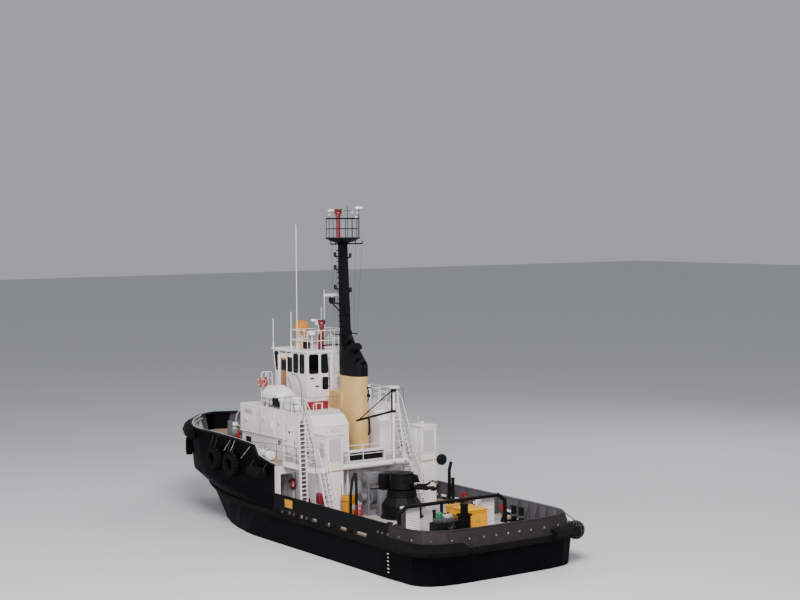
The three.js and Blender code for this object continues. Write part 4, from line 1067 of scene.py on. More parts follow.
@dataclass
class TyreFenders:
    """Old aeroplane and lorry tyres on chains, and a rubber roller, hung on each shoulder."""

    skin: HullForm
    places: tuple[tuple[float, float, float], ...] = (
        (11.3, 4.25, 0.6), (6.4, 4.11, 0.79), (4.15, 3.98, 0.79)
    )
    width: float = 0.43
    seat: float = 0.04
    lugs: int = 22

    def build(self) -> None:
        """Replaces each side's packed tyres with treaded ones and adds their lashings."""
        for side, name in NAMED_SIDES:
            hung = Shape(f"hung_tyres_{name}")
            for x, z, radius in self.places:
                self._tyre(hung, x, z, radius, side)
            self._roller(hung, side)
            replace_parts(hung.build(), f"tyre_fenders_{name}")

    def _tyre(self, hung: Shape, x: float, z: float, radius: float, side: int) -> None:
        """Adds one tyre: carcass, tread lugs and its chain."""
        at, normal = self.skin.side(x, z, side)
        out = level(normal)
        centre = at + out * (self.width / 2 - self.seat + 0.02)
        bore, half = radius * 0.5, self.width / 2 - 0.01
        tread = radius - 0.03
        groove = tread - 0.03
        half_profile = [
            (bore, 0.5), (bore + 0.03, 0.95), (radius * 0.72, 1), (radius * 0.88, 0.93), (tread - 0.02, 0.7),
            (tread, 0.35), (groove, 0.3), (groove, 0.2), (tread, 0.15),
        ]
        wall = [(r, -half * share) for r, share in half_profile]
        profile = wall + [(r, -shift) for r, shift in reversed(wall)] + wall[:1]
        hung.lathe(profile, centre, out, 30, TYRE_RUBBER)
        along = beside(out)
        lug = Vector((half * 0.36, radius * 0.075, 0.022))
        for c, s in directions(self.lugs):
            spoke = along * c + UP * s
            for shift in (-0.5, 0.5):
                place = centre + spoke * (tread - 0.012) + out * shift * half * 1.05
                basis = Matrix((out, spoke.cross(out), spoke)).transposed()
                hung.block(place - lug, place + lug, finish=TYRE_RUBBER, turn=basis)
        for shift in (-0.35, 0.35):
            top = centre + along * radius * shift + UP * radius * 0.98
            rail = Vector((top.x, top.y, min(BOW_RAIL, top.z + 0.8))) - out * self.width * 0.55
            low = centre + along * radius * shift * 0.8 + UP * bore
            hung.tube([low, top + out * 0.03, rail], 0.026, 6, GALVANISED_CHAIN)
        ends = [centre + along * radius * share + UP * radius * 0.75 for share in (0.6, -0.6)]
        hung.tube(ends, 0.03, 6, DARK_ROPE)

    @staticmethod
    def _roller(hung: Shape, side: int) -> None:
        """Adds the long roller at the break with its chains, and the taut lashings beside it."""
        start, end, radius = Vector((-0.1, side * 5.545, 3.98)), Vector((1.5, side * 5.545, 3.98)), 0.33
        profile = [(0.06, 0), (radius - 0.06, 0), (radius - 0.01, 0.05), (radius, 0.12)]
        for groove in (0.5, 1.0):
            steps = ((0, 0), (-0.02, 0.03), (-0.02, 0.07), (0, 0.1))
            profile += [(radius + inward, groove + along) for inward, along in steps]
        profile += [(radius, 1.48), (radius - 0.01, 1.55), (radius - 0.06, 1.6), (0.06, 1.6), (0.06, 0)]
        hung.lathe(profile, start, end - start, finish=TYRE_RUBBER)
        for at in (start, end):
            links = [
                at + Vector((0, -side * inward, rise)) for inward, rise in ((0, 0), (0.05, 0.32), (0.3, 0.62))
            ]
            hung.tube(links, 0.025, 6, GALVANISED_CHAIN)
        for x0, z0, x1, z1 in ((4.73, 4.83, 4.01, 5.55), (3.93, 4.87, 3.47, 5.55), (2.6, 4.59, 1.55, 5.42)):
            hung.rod((x0, side * 5.53, z0), (x1, side * 5.47, z1), 0.013, 6, WHITE_ROPE)


@dataclass
class ForedeckFittings:
    """What stands on the foredeck, the rope on its winch and the gear of the bow fender."""

    skin: HullForm

    def build(self) -> None:
        """Makes the foredeck's fittings."""
        self._deck_gear()
        self._winch_details()
        self._bow_pads()

    def _deck_gear(self) -> None:
        """Stands mushroom vents, a hatch and two lockers on the tan deck."""
        gear = Shape("foredeck_gear", PALE_GREY)
        deck = FORECASTLE_DECK
        cowl = [
            (0, 0), (0.16, 0), (0.16, 0.45), (0.14, 0.5), (0.3, 0.52), (0.32, 0.6), (0.24, 0.72), (0, 0.78)
        ]
        for x, y in ((7.0, -2.9), (13.4, 0.0)):
            gear.lathe(cowl, (x, y, deck), UP, 18, WHITE_TRIM)
        gear.block((6.6, -0.5, deck), (7.5, 0.5, deck + 0.42), 0.03)
        gear.block((6.55, -0.55, deck + 0.4), (7.55, 0.55, deck + 0.47), 0.02)
        for y in (-0.35, 0.35):
            gear.rod((7.55, y, deck + 0.38), (7.66, y, deck + 0.38), 0.03, finish=BARE_STEEL)
        gear.block((5.8, 2.2, deck), (6.3, 3.1, deck + 0.9), 0.03, RED_PAINT)
        gear.block((5.8, -3.1, deck), (6.3, -2.2, deck + 0.7), 0.03, WHITE_TRIM)
        gear.build()

    def _winch_details(self) -> None:
        """Winds the rope on the bow winch and gives it a motor and brake band."""
        rope = Shape("bow_winch_rope", WHITE_ROPE)
        for k in range(13):
            rope.ring((9.6, -0.95 + k * 0.158, 5.2), TO_PORT, 0.335, 0.075, minor=6)
        rope.build("bow_winch_drum_body")
        motor = Shape("bow_winch_motor", GREY_PAINT)
        case = [(0, 0), (0.24, 0), (0.26, 0.06), (0.26, 0.5), (0.2, 0.56), (0, 0.58)]
        motor.lathe(case, (10.25, 1.42, 4.98), TO_PORT, 18)
        for k in range(5):
            motor.ring((10.25, 1.52 + k * 0.09, 4.98), TO_PORT, 0.265, 0.014, 18, 6)
        motor.build()

    def _bow_pads(self) -> None:
        """Bolts steel bands over the bow fender and fixes a stiff mat to its port side."""
        pads = Shape("bow_fender_bands", WORN_BAND)
        profile = ((4.94, 0.14), (5.04, 0.42), (5.28, 0.535), (5.52, 0.42), (5.62, 0.14))
        for side in PORT_AND_STARBOARD:
            for x in (10.6, 11.9, 13.1, 14.2):
                line = []
                for z, depth in profile:
                    at, normal = self.skin.side(x, z, side)
                    out = level(normal)
                    line.append(at + out * depth)
                pads.tube(line, 0.022, 6)
        at, normal = self.skin.side(14.35, 4.7, 1)
        out = level(normal)
        along = beside(out)
        hung = at + out * 0.34
        face = [
            hung + along * a + UP * b for a, b in ((-0.2, 0.32), (0.2, 0.34), (0.24, -0.3), (-0.18, -0.36))
        ]
        pads.plate(face, out * 0.05, 0.01)
        pads.build()


@dataclass
class HouseFittings:
    """Doors, lamps, louvres, gutters, rails and fire gear on the deckhouses, towers and boat deck."""

    tower_aft: float = -4.65
    tower_top: float = 6.6
    tower_blades: int = 15
    wall: float = HOUSE_HALF
    ladder_rails: tuple[tuple[tuple[float, float], tuple[tuple[float, float], ...]], ...] = (
        ((3.95, 4.45), ((-5.86, 1.8), (-5.9, 2.6), (-4.86, 5.4), (-4.5, 5.85), (-3.6, 5.85))),
        ((3.82, 4.32), ((-3.5, 4.85), (-3.52, 5.7), (-2.72, 7.9), (-2.2, 8.5), (-1.5, 8.5), (-1.45, 7.55))),
        ((-2.66, -2.04), ((-5.66, 1.8), (-5.7, 2.6), (-3.75, 5.6))),
        (
            (-2.48, -1.92),
            ((-4.2, 4.85), (-4.22, 5.7), (-3.1, 8.2), (-2.7, 8.55), (-1.4, 8.55), (-1.35, 7.55)),
        ),
    )

    def build(self) -> None:
        """Makes the fittings of every house."""
        self._gutters()
        self._panels()
        self._house_doors()
        self._wall_gear()
        self._tower_louvres()
        self._tower_trim()
        self._boat_deck_trim()
        self._passages()
        self._hand_rails()
        self._roof_gear()
        self._aft_wall()

    def _gutters(self) -> None:
        """Runs a rounded gutter bar along the houses' roof edges and the overhang."""
        bars = Shape("house_gutters", WHITE_TRIM)
        fore, aft, half = HOUSE_FRONT_X, HOUSE_AFT_X, self.wall
        z, eave, ledge = HOUSE_ROOF - 0.02, 6.95, 5.87
        bars.tube([(-0.9, half, z), (fore, half, z), (fore, -half, z), (-0.9, -half, z)], 0.035)
        for side in PORT_AND_STARBOARD:
            bars.tube([(-0.9, side * half, ledge), (fore, side * half, ledge)], 0.03)
        bars.tube([(fore, half, ledge), (fore, -half, ledge)], 0.03)
        bars.tube([(-0.9, half, z), (-2.7, half, z), (aft, half, eave), (aft, 1.5, eave)], 0.025)
        bars.tube([(-2.7, half, z), (-2.7, 1.5, z), (aft, 1.5, eave)], 0.02)
        bars.tube([(-2.7, -0.7, z), (-2.7, -1.65, z), (aft, -1.65, eave), (aft, -0.7, eave)], 0.02)
        bars.build()

    def _panels(self) -> None:
        """Lays the weld beads between the houses' plates, and a grey line of painted shade down the after
        wall.
        """
        beads = Shape("house_weld_beads", WHITE_PAINT)
        proud = 0.002
        for side in PORT_AND_STARBOARD:
            y = side * (self.wall + proud)
            for x in (2.0, 3.9):
                beads.rod((x, y, 5.9), (x, y, HOUSE_ROOF - 0.05), 0.012, 6)
            for x in (-2.1, -2.95):
                beads.rod((x, y, BOAT_DECK), (x, y, 7.0), 0.012, 6)
        x = HOUSE_AFT_X - proud
        for y in (2.3, 3.05):
            beads.rod((x, y, BOAT_DECK), (x, y, 6.9), 0.012, 6)
        # Painted shade: this one pale grey bead is a line of shade down the after wall
        beads.rod((x, -1.18, BOAT_DECK), (x, -1.18, 6.9), 0.016, 6, PALE_GREY)
        x = HOUSE_FRONT_X + proud
        for y in (-2.4, 0.0, 2.4):
            beads.rod((x, y, 5.9), (x, y, HOUSE_ROOF - 0.05), 0.012, 6)
        beads.build()

    @staticmethod
    def _door(doors: Shape, low: Point, high: Point, face: Vector, finish: Finish) -> None:
        """Adds one weather door on a wall: frame, leaf, hinges, clips and a porthole.

        Args:
            doors: The piece it joins.
            low: Lowest corner of the leaf on the wall.
            high: Highest corner of the leaf on the wall.
            face: Outward direction of the wall.
            finish: The leaf's finish.
        """
        low, high = Vector(low), Vector(high)
        wide = high - low
        across = level(wide)
        width = Vector((wide.x, wide.y, 0)).length
        tall = wide.z
        foot = low + face * 0.02

        def at(share: float, height: float, out: float) -> Vector:
            """Returns a place by its shares of the leaf's width and height, and its distance out."""
            return foot + across * share * width + UP * height * tall + face * out

        def area(left: float, right: float, bottom: float, top: float, out: float = 0.0) -> list[Vector]:
            """Returns the corners of a part of the leaf."""
            return [at(left, bottom, out), at(right, bottom, out), at(right, top, out), at(left, top, out)]

        doors.tube(area(-0.06, 1.06, -0.03, 1.03), 0.028, 6, WHITE_TRIM, True)
        doors.plate(area(0, 1, 0, 1), face * 0.035, 0.008, finish)
        doors.plate(area(0.12, 0.88, 0.06, 0.44, 0.035), face * 0.008, 0.003, finish)
        doors.ring(at(0.5, 0.78, 0.04), face, 0.09, 0.016, 18, 6, BARE_STEEL)
        doors.disc(at(0.5, 0.78, 0.036), face, 0.085, 0.012, 18, WINDOW_GLASS)
        for height in (0.2, 0.8):
            doors.rod(at(0.0, height - 0.04, 0.04), at(0.0, height + 0.04, 0.04), 0.022, finish=BARE_STEEL)
        for height in (0.12, 0.5, 0.88):
            clip = [at(0.94, height, 0.03), at(0.94, height, 0.08), at(0.8, height + 0.015, 0.085)]
            doors.tube(clip, 0.014, 6, BARE_STEEL)

    def _house_doors(self) -> None:
        """Hangs the weather doors of the main and upper houses."""
        doors = Shape("weather_doors")
        sill, lintel = AFT_DECK + 0.2, AFT_DECK + 2.05
        for side in PORT_AND_STARBOARD:
            y, out = side * self.wall, TO_PORT * side
            self._door(doors, (-0.75, y, BOAT_DECK + 0.15), (-0.02, y, BOAT_DECK + 2.0), out, WHITE_TRIM)
            self._door(doors, (-2.0, side * 3.75, sill), (-1.3, side * 3.75, lintel), out, WHITE_TRIM)
        self._door(doors, (-2.602, -1.95, sill), (-2.602, -1.2, lintel), AFT, PALE_GREY)
        x = HOUSE_FRONT_X
        self._door(doors, (x, -1.1, FORECASTLE_DECK + 1.55), (x, -0.4, 7.3), AHEAD, WHITE_TRIM)
        doors.build()

    def _wall_gear(self) -> None:
        """Fixes lamps, a blank name board, vents, pipes and brackets to the port and starboard walls."""
        gear = Shape("house_wall_gear", WHITE_TRIM)
        for side in PORT_AND_STARBOARD:
            y, out = side * self.wall, TO_PORT * side
            gear.plate(side_on(y, 4.18, 5.1, 7.02, 7.28), out * 0.03, 0.005, PALE_GREY)
            for x, z in ((4.9, 6.6), (2.75, 6.85), (0.85, 6.8), (-2.5, 6.3)):
                self._bulkhead_lamp(gear, Vector((x, y, z)), out)
            gear.block((1.62, y, 6.3), (1.82, y + side * 0.12, 6.75), 0.02)
            gear.block((4.54, y - side * 0.1, 5.18), (5.07, y - side * 0.02, 5.54), 0.01, GASKET)
            off = y + side * 0.06
            gear.tube([(1.4, y, 7.5), (1.4, off, 7.4), (1.4, off, 5.95), (1.4, y, 5.9)], 0.03, 6)
            off = y + side * 0.05
            gear.tube([(3.2, off, 7.45), (3.2, off, 5.9)], 0.022, 6, PALE_GREY)
            gear.tube([(0.3, off, 7.45), (0.3, off, 4.6)], 0.035, 6)
            gear.ring((0.87, y + side * 0.03, 5.6), out, 0.1, 0.03, 14, 6, GASKET)
        for x, z in ((-1.6, 5.5), (-2.4, 5.3)):
            gear.ring((x, self.wall + 0.03, z), TO_PORT, 0.13, 0.02, 16, 6, BARE_STEEL)
            gear.disc((x, self.wall, z), TO_PORT, 0.125, 0.02, 16, WINDOW_GLASS)
        for y in (-2.6, -1.7, 0.4, 1.3, 2.2, 3.1):
            gear.ring((HOUSE_FRONT_X + 0.02, y, 6.75), AHEAD, 0.17, 0.022, 16, 6)
            gear.disc((HOUSE_FRONT_X, y, 6.75), AHEAD, 0.165, 0.02, 16, WINDOW_GLASS)
        gear.build()

    @staticmethod
    def _bulkhead_lamp(gear: Shape, at: Vector, out: Vector) -> None:
        """Adds a round caged lamp on a wall."""
        gear.lathe([(0, 0), (0.1, 0), (0.1, 0.05), (0.075, 0.06), (0, 0.06)], at, out, 14, WHITE_TRIM)
        gear.lathe([(0.07, 0.06), (0.065, 0.12), (0.03, 0.15), (0, 0.155)], at, out, 14, LAMP_GLASS)
        gear.ring(at + out * 0.1, out, 0.078, 0.008, 14, 6, BARE_STEEL)

    def _tower_louvres(self) -> None:
        """Slants the louvre blades on each vent tower's after face, in their frame."""
        for side, name in NAMED_SIDES:
            louvres = Shape(f"tower_louvres_{name}", WHITE_TRIM)
            mid, half = side * 3.34, 0.48
            low, high, face = 5.02, 6.42, self.tower_aft
            for edge in (-half, half - 0.07):
                corner = (face - 0.02, mid + edge, low - 0.06)
                louvres.block(corner, (face + 0.05, mid + edge + 0.07, high + 0.06), 0.008)
            for z in (low - 0.06, high):
                louvres.block((face - 0.02, mid - half, z), (face + 0.05, mid + half, z + 0.06), 0.008)
            turn = Matrix.Rotation(math.radians(-38), 3, "Y")
            half = 0.42
            for k in range(self.tower_blades):
                z = low + (k + 0.5) * (high - low) / self.tower_blades
                louvres.block(
                    (face - 0.03, mid - half, z - 0.008), (face + 0.07, mid + half, z + 0.008), turn=turn
                )
            louvres.build()

    def _tower_trim(self) -> None:
        """Caps the towers with a shallow lid and hangs their pipes, hose, panel and red boxes."""
        for side, name in NAMED_SIDES:
            trim = Shape(f"tower_trim_{name}", WHITE_TRIM)
            x, top = self.tower_aft, self.tower_top
            mid, inner, outer = side * 3.34, side * 2.78, side * 3.9
            trim.block(
                (x - 0.05, mid - 0.61, top - 0.03), (HOUSE_AFT_X + 0.02, mid + 0.61, top + 0.05), 0.025,
                WHITE_PAINT,
            )
            cap = [(0, 0), (0.09, 0), (0.09, 0.1), (0.14, 0.12), (0.1, 0.18), (0, 0.2)]
            trim.lathe(cap, (-4.0, mid, top + 0.04), UP, 14)
            handle = ((-4.3, 0.05), (-4.2, 0.16), (-3.9, 0.16), (-3.8, 0.05))
            trim.tube([(at, mid - 0.2, top + rise) for at, rise in handle], 0.015, 6, BARE_STEEL)
            trim.plate(side_on(outer, -4.4, -3.95, 5.3, 6.15), (0, side * 0.03, 0), 0.006, PALE_GREY)
            trim.block((-4.2, inner, 4.95), (-3.7, inner - side * 0.03, 6.35), 0.01)
            y = mid + side * 0.35
            trim.tube([(x - 0.04, y, 4.95), (x - 0.04, y, 2.0)], 0.03, 6)
            y = mid - side * 0.4
            trim.tube([(x - 0.035, y, 3.7), (x - 0.035, y, 1.8)], 0.018, 6, RUSTY_STEEL)
            trim.block((x - 0.05, mid - 0.54, 4.5), (x, mid + 0.54, 4.54), 0.01, YELLOW_PLASTIC)
            trim.block((-4.55, outer, 2.55), (-3.7, side * 4.1, 3.2), 0.05, RED_PAINT)
            trim.build()

    def _boat_deck_trim(self) -> None:
        """Rounds the boat deck's edge, with its brackets below and the hatch's barred mouth, whose dark
        inside is a black block of painted shade.
        """
        trim = Shape("boat_deck_edge", WHITE_PAINT)
        under = BOAT_DECK_UNDER
        z = (BOAT_DECK + under) / 2
        trim.tube([(-4.4, 2.75, z), (-4.4, -1.9, z)], 0.17, 12)
        for y in (2.4, 1.2, 0.0, -1.2):
            trim.plate([(-4.3, y, under), (-3.3, y, under), (-3.3, y, under - 0.5)], (0, 0.02, 0))
        trim.tube([(-3.95, 1.95, 5.42), (-3.95, -0.64, 5.42)], 0.035, finish=WHITE_TRIM)
        # Painted shade: a black block set behind the bars stands in for the shade inside the hatch's mouth
        trim.block((-3.72, -0.58, 4.84), (-3.58, 1.88, 5.33), finish=GASKET)
        for k in range(9):
            y = -0.45 + k * 0.27
            trim.block((-3.98, y, 4.85), (-3.96, y + 0.02, 5.33), finish=BLACK_PAINT)
        for y in (-1.7, -0.9):
            trim.ring((-4.58, y, z), AHEAD, 0.05, 0.02, 10, 6, RED_PAINT)
        trim.build()
        hatch = Shape("boat_deck_boxes", PALE_GREY)
        hatch.block((-3.9, -1.75, BOAT_DECK), (-3.4, -0.8, BOAT_DECK + 0.35), 0.03)
        vent = [(0, 0), (0.12, 0), (0.12, 0.3), (0.2, 0.32), (0.2, 0.42), (0, 0.46)]
        hatch.lathe(vent, (-3.65, 2.4, BOAT_DECK), UP, 14, WHITE_TRIM)
        hatch.build()

    def _passages(self) -> None:
        """Lines each side passage: end wall, pipes, a door, a lifebuoy and a red extinguisher."""
        for side, name in NAMED_SIDES:
            gear = Shape(f"side_passage_{name}", PALE_GREY)
            inner, outer = side * 3.77, side * 4.88
            fore, aft, sill, lintel = 1.5, -0.85, AFT_DECK + 0.15, AFT_DECK + 2.0
            gear.block((fore, inner, AFT_DECK + 0.01), (fore + 0.08, outer, 3.98))
            self._door(
                gear, (fore, inner + side * 0.95, sill), (fore, inner + side * 0.25, lintel), AFT, WHITE_TRIM
            )
            y = side * 3.76
            self._door(gear, (-0.6, y, sill), (0.1, y, lintel), TO_PORT * side, PALE_GREY)
            gear.block((aft, inner - side * 0.01, AFT_DECK + 0.02), (fore, inner, 3.97), finish=WHITE_TRIM)
            gear.block((aft, inner, 3.95), (fore, outer, 3.985), finish=WHITE_TRIM)
            gear.block((aft, outer, AFT_DECK + 0.02), (fore, outer - side * 0.015, 3.97))
            for z in (3.6, 3.75):
                gear.tube([(-0.8, inner + side * 0.08, z), (1.45, inner + side * 0.08, z)], 0.03, 6)
            y = side * 3.86
            gear.ring((-0.73, y, 3.3), TO_PORT, 0.28, 0.07, finish=RED_PAINT)
            gear.rod((-2.6, y, 2.0), (-2.6, y, 2.55), 0.09, 12, RED_PAINT)
            gear.rod((-2.6, y, 2.55), (-2.6, y, 2.68), 0.04, finish=BLACK_PAINT)
            x, y = BREAK_X + 0.02, side * 4.85
            gear.tube([(x, y, AFT_DECK), (x, y, 4.05), (x, side * 3.8, 4.05)], 0.05, finish=WHITE_TRIM)
            gear.build()

    def _hand_rails(self) -> None:
        """Bends the hand rails of the ladders, the house roof and the hoops over the lockers."""
        rails = Shape("ladder_hand_rails", WHITE_TRIM)
        for pair, line in self.ladder_rails:
            for y in pair:
                rails.tube([(x, y, z) for x, z in line], 0.022)
        rails.build()
        roof = Shape("house_roof_rails", WHITE_TRIM)
        self._roof_run(roof, [(0.15, -3.72), (2.2, -3.72)])
        self._roof_run(roof, [(-0.75, -2.5), (0.15, -2.5), (0.15, -3.72)])
        hoop = ((2.5, 7.5), (2.5, 7.95), (2.38, 8.03), (2.02, 8.03), (1.9, 7.95), (1.9, 7.5))
        roof.tube([(-0.95, y, z) for y, z in hoop], 0.025)
        roof.build()

    @staticmethod
    def _roof_run(roof: Shape, line: list[tuple[float, float]]) -> None:
        """Adds posts and three bars along a run of roof rail, with its top bar 1.0 m up."""
        height, bars = 1.0, 3
        for (x0, y0), (x1, y1) in zip(line, line[1:]):
            count = max(1, round(math.hypot(x1 - x0, y1 - y0) / 1.2))
            for k in range(count + 1):
                x, y = x0 + (x1 - x0) * k / count, y0 + (y1 - y0) * k / count
                roof.rod((x, y, HOUSE_ROOF), (x, y, HOUSE_ROOF + height), 0.02, 6, WHITE_TRIM)
            for k in range(1, bars + 1):
                z = HOUSE_ROOF + height * k / bars
                roof.rod((x0, y0, z), (x1, y1, z), 0.018, 6, WHITE_TRIM)

    def _roof_gear(self) -> None:
        """Stands the red locker, vents and boxes on the house roof, round the wheelhouse."""
        gear = Shape("roof_lockers", WHITE_TRIM)
        gear.block((-0.2, 0.97, HOUSE_ROOF), (0.19, 2.26, 7.99), 0.02, RED_PAINT)
        for y in (1.38, 1.82):
            gear.block((-0.225, y, HOUSE_ROOF + 0.02), (-0.2, y + 0.05, 7.97), 0.004)
        gear.block((-0.22, 0.95, 7.97), (0.19, 2.28, 8.02), 0.01, RED_PAINT)
        gear.block((4.6, 1.2, HOUSE_ROOF), (5.3, 2.4, HOUSE_ROOF + 0.5), 0.04)
        vent = [(0, 0), (0.14, 0), (0.14, 0.5), (0.28, 0.54), (0.28, 0.66), (0, 0.74)]
        gear.lathe(vent, (5.0, -1.9, HOUSE_ROOF), UP, 16)
        gooseneck = ((1.2, HOUSE_ROOF), (1.2, 8.3), (1.35, 8.55), (1.6, 8.55), (1.7, 8.4))
        gear.tube([(x, -3.0, z) for x, z in gooseneck], 0.1, 12)
        dome = [(0.2, 0), (0.23, 0.2), (0.23, 0.5), (0.1, 0.6), (0, 0.62)]
        gear.lathe(dome, (3.2, -3.0, HOUSE_ROOF), UP, 16)
        gear.build()

    def _aft_wall(self) -> None:
        """Hangs pipes, boxes, a tray and lamps on the wall under the boat deck."""
        gear = Shape("aft_wall_gear", PALE_GREY)
        x = HOUSE_AFT_X
        for y in (2.5, 2.62, -0.6):
            gear.tube([(x - 0.05, y, AFT_DECK + 0.05), (x - 0.05, y, 4.4)], 0.028, 6, WHITE_TRIM)
        gear.tube([(x - 0.07, 2.4, 4.2), (x - 0.07, -0.9, 4.2)], 0.035, 6)
        gear.block((x - 0.22, -0.4, 2.9), (x, 0.3, 3.8), 0.03)
        gear.block((x - 0.22, 0.8, 2.6), (x, 1.3, 3.6), 0.03)
        for y in (2.0, 0.1, -1.5):
            gear.block((x - 0.35, y - 0.3, 4.32), (x - 0.15, y + 0.3, 4.42), 0.02, LAMP_GLASS)
        for y in (-2.15, -0.95):
            gear.tube([(x - 0.03, y, AFT_DECK + 0.1), (x - 0.03, y, 3.95)], 0.04, 6, WHITE_TRIM)
        gear.block((x - 0.03, -2.15, 3.9), (x + 0.03, -0.95, 3.98), 0.01, WHITE_TRIM)
        gear.build()


@dataclass
class WheelhouseFittings:
    """Panes, gaskets, doors' glass, rails, ladder and roof gear of the wheelhouse."""

    aft: float = 1.0
    front: float = 4.85
    half: float = 1.72
    sill: float = 9.45
    rake: float = 0.214
    window: tuple[float, float] = (9.61, 10.77)
    corner: float = 0.09
    side_windows: tuple[tuple[float, float], ...] = ((1.33, 1.85), (2.06, 2.61), (2.8, 3.32))
    aft_windows: tuple[tuple[float, float], ...] = (
        (-1.58, -0.93), (-0.71, -0.23), (0.23, 0.71), (0.93, 1.58)
    )
    front_windows: tuple[tuple[float, float], ...] = (
        (-1.56, -1.0), (-0.89, -0.33), (-0.22, 0.22), (0.33, 0.89), (1.0, 1.56)
    )

    def build(self) -> None:
        """Makes the wheelhouse's fittings."""
        self._windows()
        self._door_glass()
        self._wall_gear()
        self._aft_ladder()
        self._roof_gear()
        self._monitor_sleeve()

    def _pane(self, panes: Shape, corners: Sequence[Point], out: Vector) -> None:
        """Sets one pane just inside the wall's face, in a rounded rubber gasket."""
        places = [Vector(p) for p in corners]
        panes.plate([p - out * 0.02 for p in places], out * 0.01, finish=WINDOW_GLASS)
        rim = []
        for before, place, after in zip(places[-1:] + places[:-1], places, places[1:] + places[:1]):
            back, on = (before - place).normalized() * self.corner, (after - place).normalized() * self.corner
            bend = [place + back, place + (back + on) * 0.3, place + on]
            rim += bend
            panes.plate([place, *bend], out * 0.012, finish=WHITE_PAINT)
        panes.tube([p + out * 0.01 for p in rim], 0.022, 6, GASKET, True)

    def _windows(self) -> None:
        """Glazes every window opening."""
        panes = Shape("wheelhouse_panes", GASKET)
        low, high = self.window
        for side in PORT_AND_STARBOARD:
            y, out = side * self.half, TO_PORT * side
            for a, b in self.side_windows:
                self._pane(panes, side_on(y, a, b, low, high), out)
            self._pane(panes, [(4.46, y, low), (4.7, y, low), (4.94, y, high), (4.46, y, high)], out)
            a, b = self.side_windows[2]
            blank = side_on(y, a - 0.03, b + 0.03, 10.52, high + 0.03)
            panes.plate(blank, out * 0.03, 0.006, WHITE_TRIM)
            for x0, x1 in ((3.56, 4.2), (2.84, 3.33)):
                panes.plate(side_on(y, x0, x1, 10.755, 10.81), out * 0.036, 0.004)
        for a, b in self.aft_windows:
            self._pane(panes, athwart(self.aft, a, b, low, high), AFT)
        self._pane(panes, athwart(self.aft, 0.23, 0.63, 8.6, 9.35), AFT)
        foot, head = (self.front + (z - self.sill) * self.rake for z in self.window)
        out = Vector((1, 0, -self.rake)).normalized()
        for a, b in self.front_windows:
            self._pane(panes, [(foot, a, low), (foot, b, low), (head, b, high), (head, a, high)], out)
            mid = (a + b) / 2
            wiper = [
                (head - 0.04, mid, high + 0.04), (head + 0.02, mid, high - 0.05),
                (foot + 0.12, mid + 0.12, low + 0.5),
            ]
            panes.tube(wiper, 0.009, 6)
        panes.build()

    def _door_glass(self) -> None:
        """Gives each teak door its dark upper light, lower panel and lever."""
        for side, name in NAMED_SIDES:
            door = Shape(f"wheelhouse_door_trim_{name}", BARE_STEEL)
            y, out = side * 1.685, TO_PORT * side
            light = side_on(y, 3.6, 4.14, 9.66, 10.28)
            door.plate(light, out * 0.006, finish=WINDOW_GLASS)
            door.tube([Vector(p) + out * 0.004 for p in light], 0.014, 6, GASKET, True)
            for low, high in ((8.72, 9.05), (9.15, 9.52)):
                door.plate(side_on(y, 3.6, 4.14, low, high), out * 0.012, 0.005, VARNISHED_DOOR)
            door.rod((3.55, y, 9.58), (3.55, y + side * 0.02, 9.58), 0.03, 12)
            door.rod((3.55, y + side * 0.018, 9.58), (3.66, y + side * 0.018, 9.58), 0.009)
            door.build(f"door_{name}_body")

    def _wall_gear(self) -> None:
        """Bends the hand rails on the walls and fixes vents, pipes and lamps beside them."""
        gear = Shape("wheelhouse_wall_gear", GREY_PAINT)
        for side in PORT_AND_STARBOARD:
            y = side * (self.half + 0.05)
            grip = ((2.79, 9.49), (2.3, 9.48), (2.12, 9.42), (1.76, 9.02), (1.58, 8.56), (1.6, 7.56))
            gear.tube([(x, y, z) for x, z in grip], 0.02)
            gear.tube([(3.27, y, 9.3), (3.1, y, 9.05), (2.61, y, 8.2), (2.45, y, 7.56)], 0.02)
            for x, z in ((2.6, 9.485), (1.9, 9.19), (1.6, 8.2), (2.86, 8.63)):
                gear.rod((x, side * self.half, z), (x, y, z), 0.016, 6)
            wall = side * self.half
            gear.block((4.34, wall, 8.6), (4.4, y + side * 0.03, 10.6), 0.01, WHITE_TRIM)
            gear.rod((self.aft, wall, 7.56), (self.aft, wall, 10.85), 0.03, finish=WHITE_TRIM)
            frame = side * (self.half + 0.005)
            for x in (3.44, 4.3):
                gear.rod((x, frame, 8.5), (x, frame, 10.45), 0.02, finish=WHITE_TRIM)
        x = self.aft
        for y0, y1, z in ((1.24, 1.53, 9.33), (0.9, 1.16, 8.83)):
            gear.block((x - 0.05, y0, z - 0.05), (x, y1, z + 0.04), 0.012)
            gear.block((x - 0.055, y0 + 0.02, z - 0.035), (x - 0.04, y1 - 0.02, z + 0.005), finish=GASKET)
        conduit = ((0.03, 0.3, 10.84), (0.05, 0.26, 10.6), (0.05, 0.19, 9.6), (0.04, 0.13, 8.66))
        gear.tube([(x - off, y, z) for off, y, z in conduit], 0.024)
        for z in (10.5, 9.9, 9.3, 8.8):
            gear.rod((x, 0.2, z), (x - 0.06, 0.2, z), 0.03)
        gear.block((x - 0.06, -0.72, 8.68), (x, -0.48, 9.32), 0.01, GASKET)
        gear.block((x - 0.07, -0.8, 8.62), (x - 0.005, -0.74, 9.4), 0.01, WHITE_TRIM)
        rail = ((3.2, 7.56), (3.2, 8.42), (3.1, 8.46), (2.6, 8.38), (0.66, 8.38))
        gear.tube([(-0.98, y, z) for y, z in rail], 0.016)
        for y in (2.4, 0.9):
            gear.rod((-0.98, y, 7.54), (-0.98, y, 8.38), 0.014, 6)
        gear.tube([(x - 0.02, self.half, 10.86), (x - 0.02, -self.half, 10.86)], 0.03, finish=WHITE_TRIM)
        gear.build()

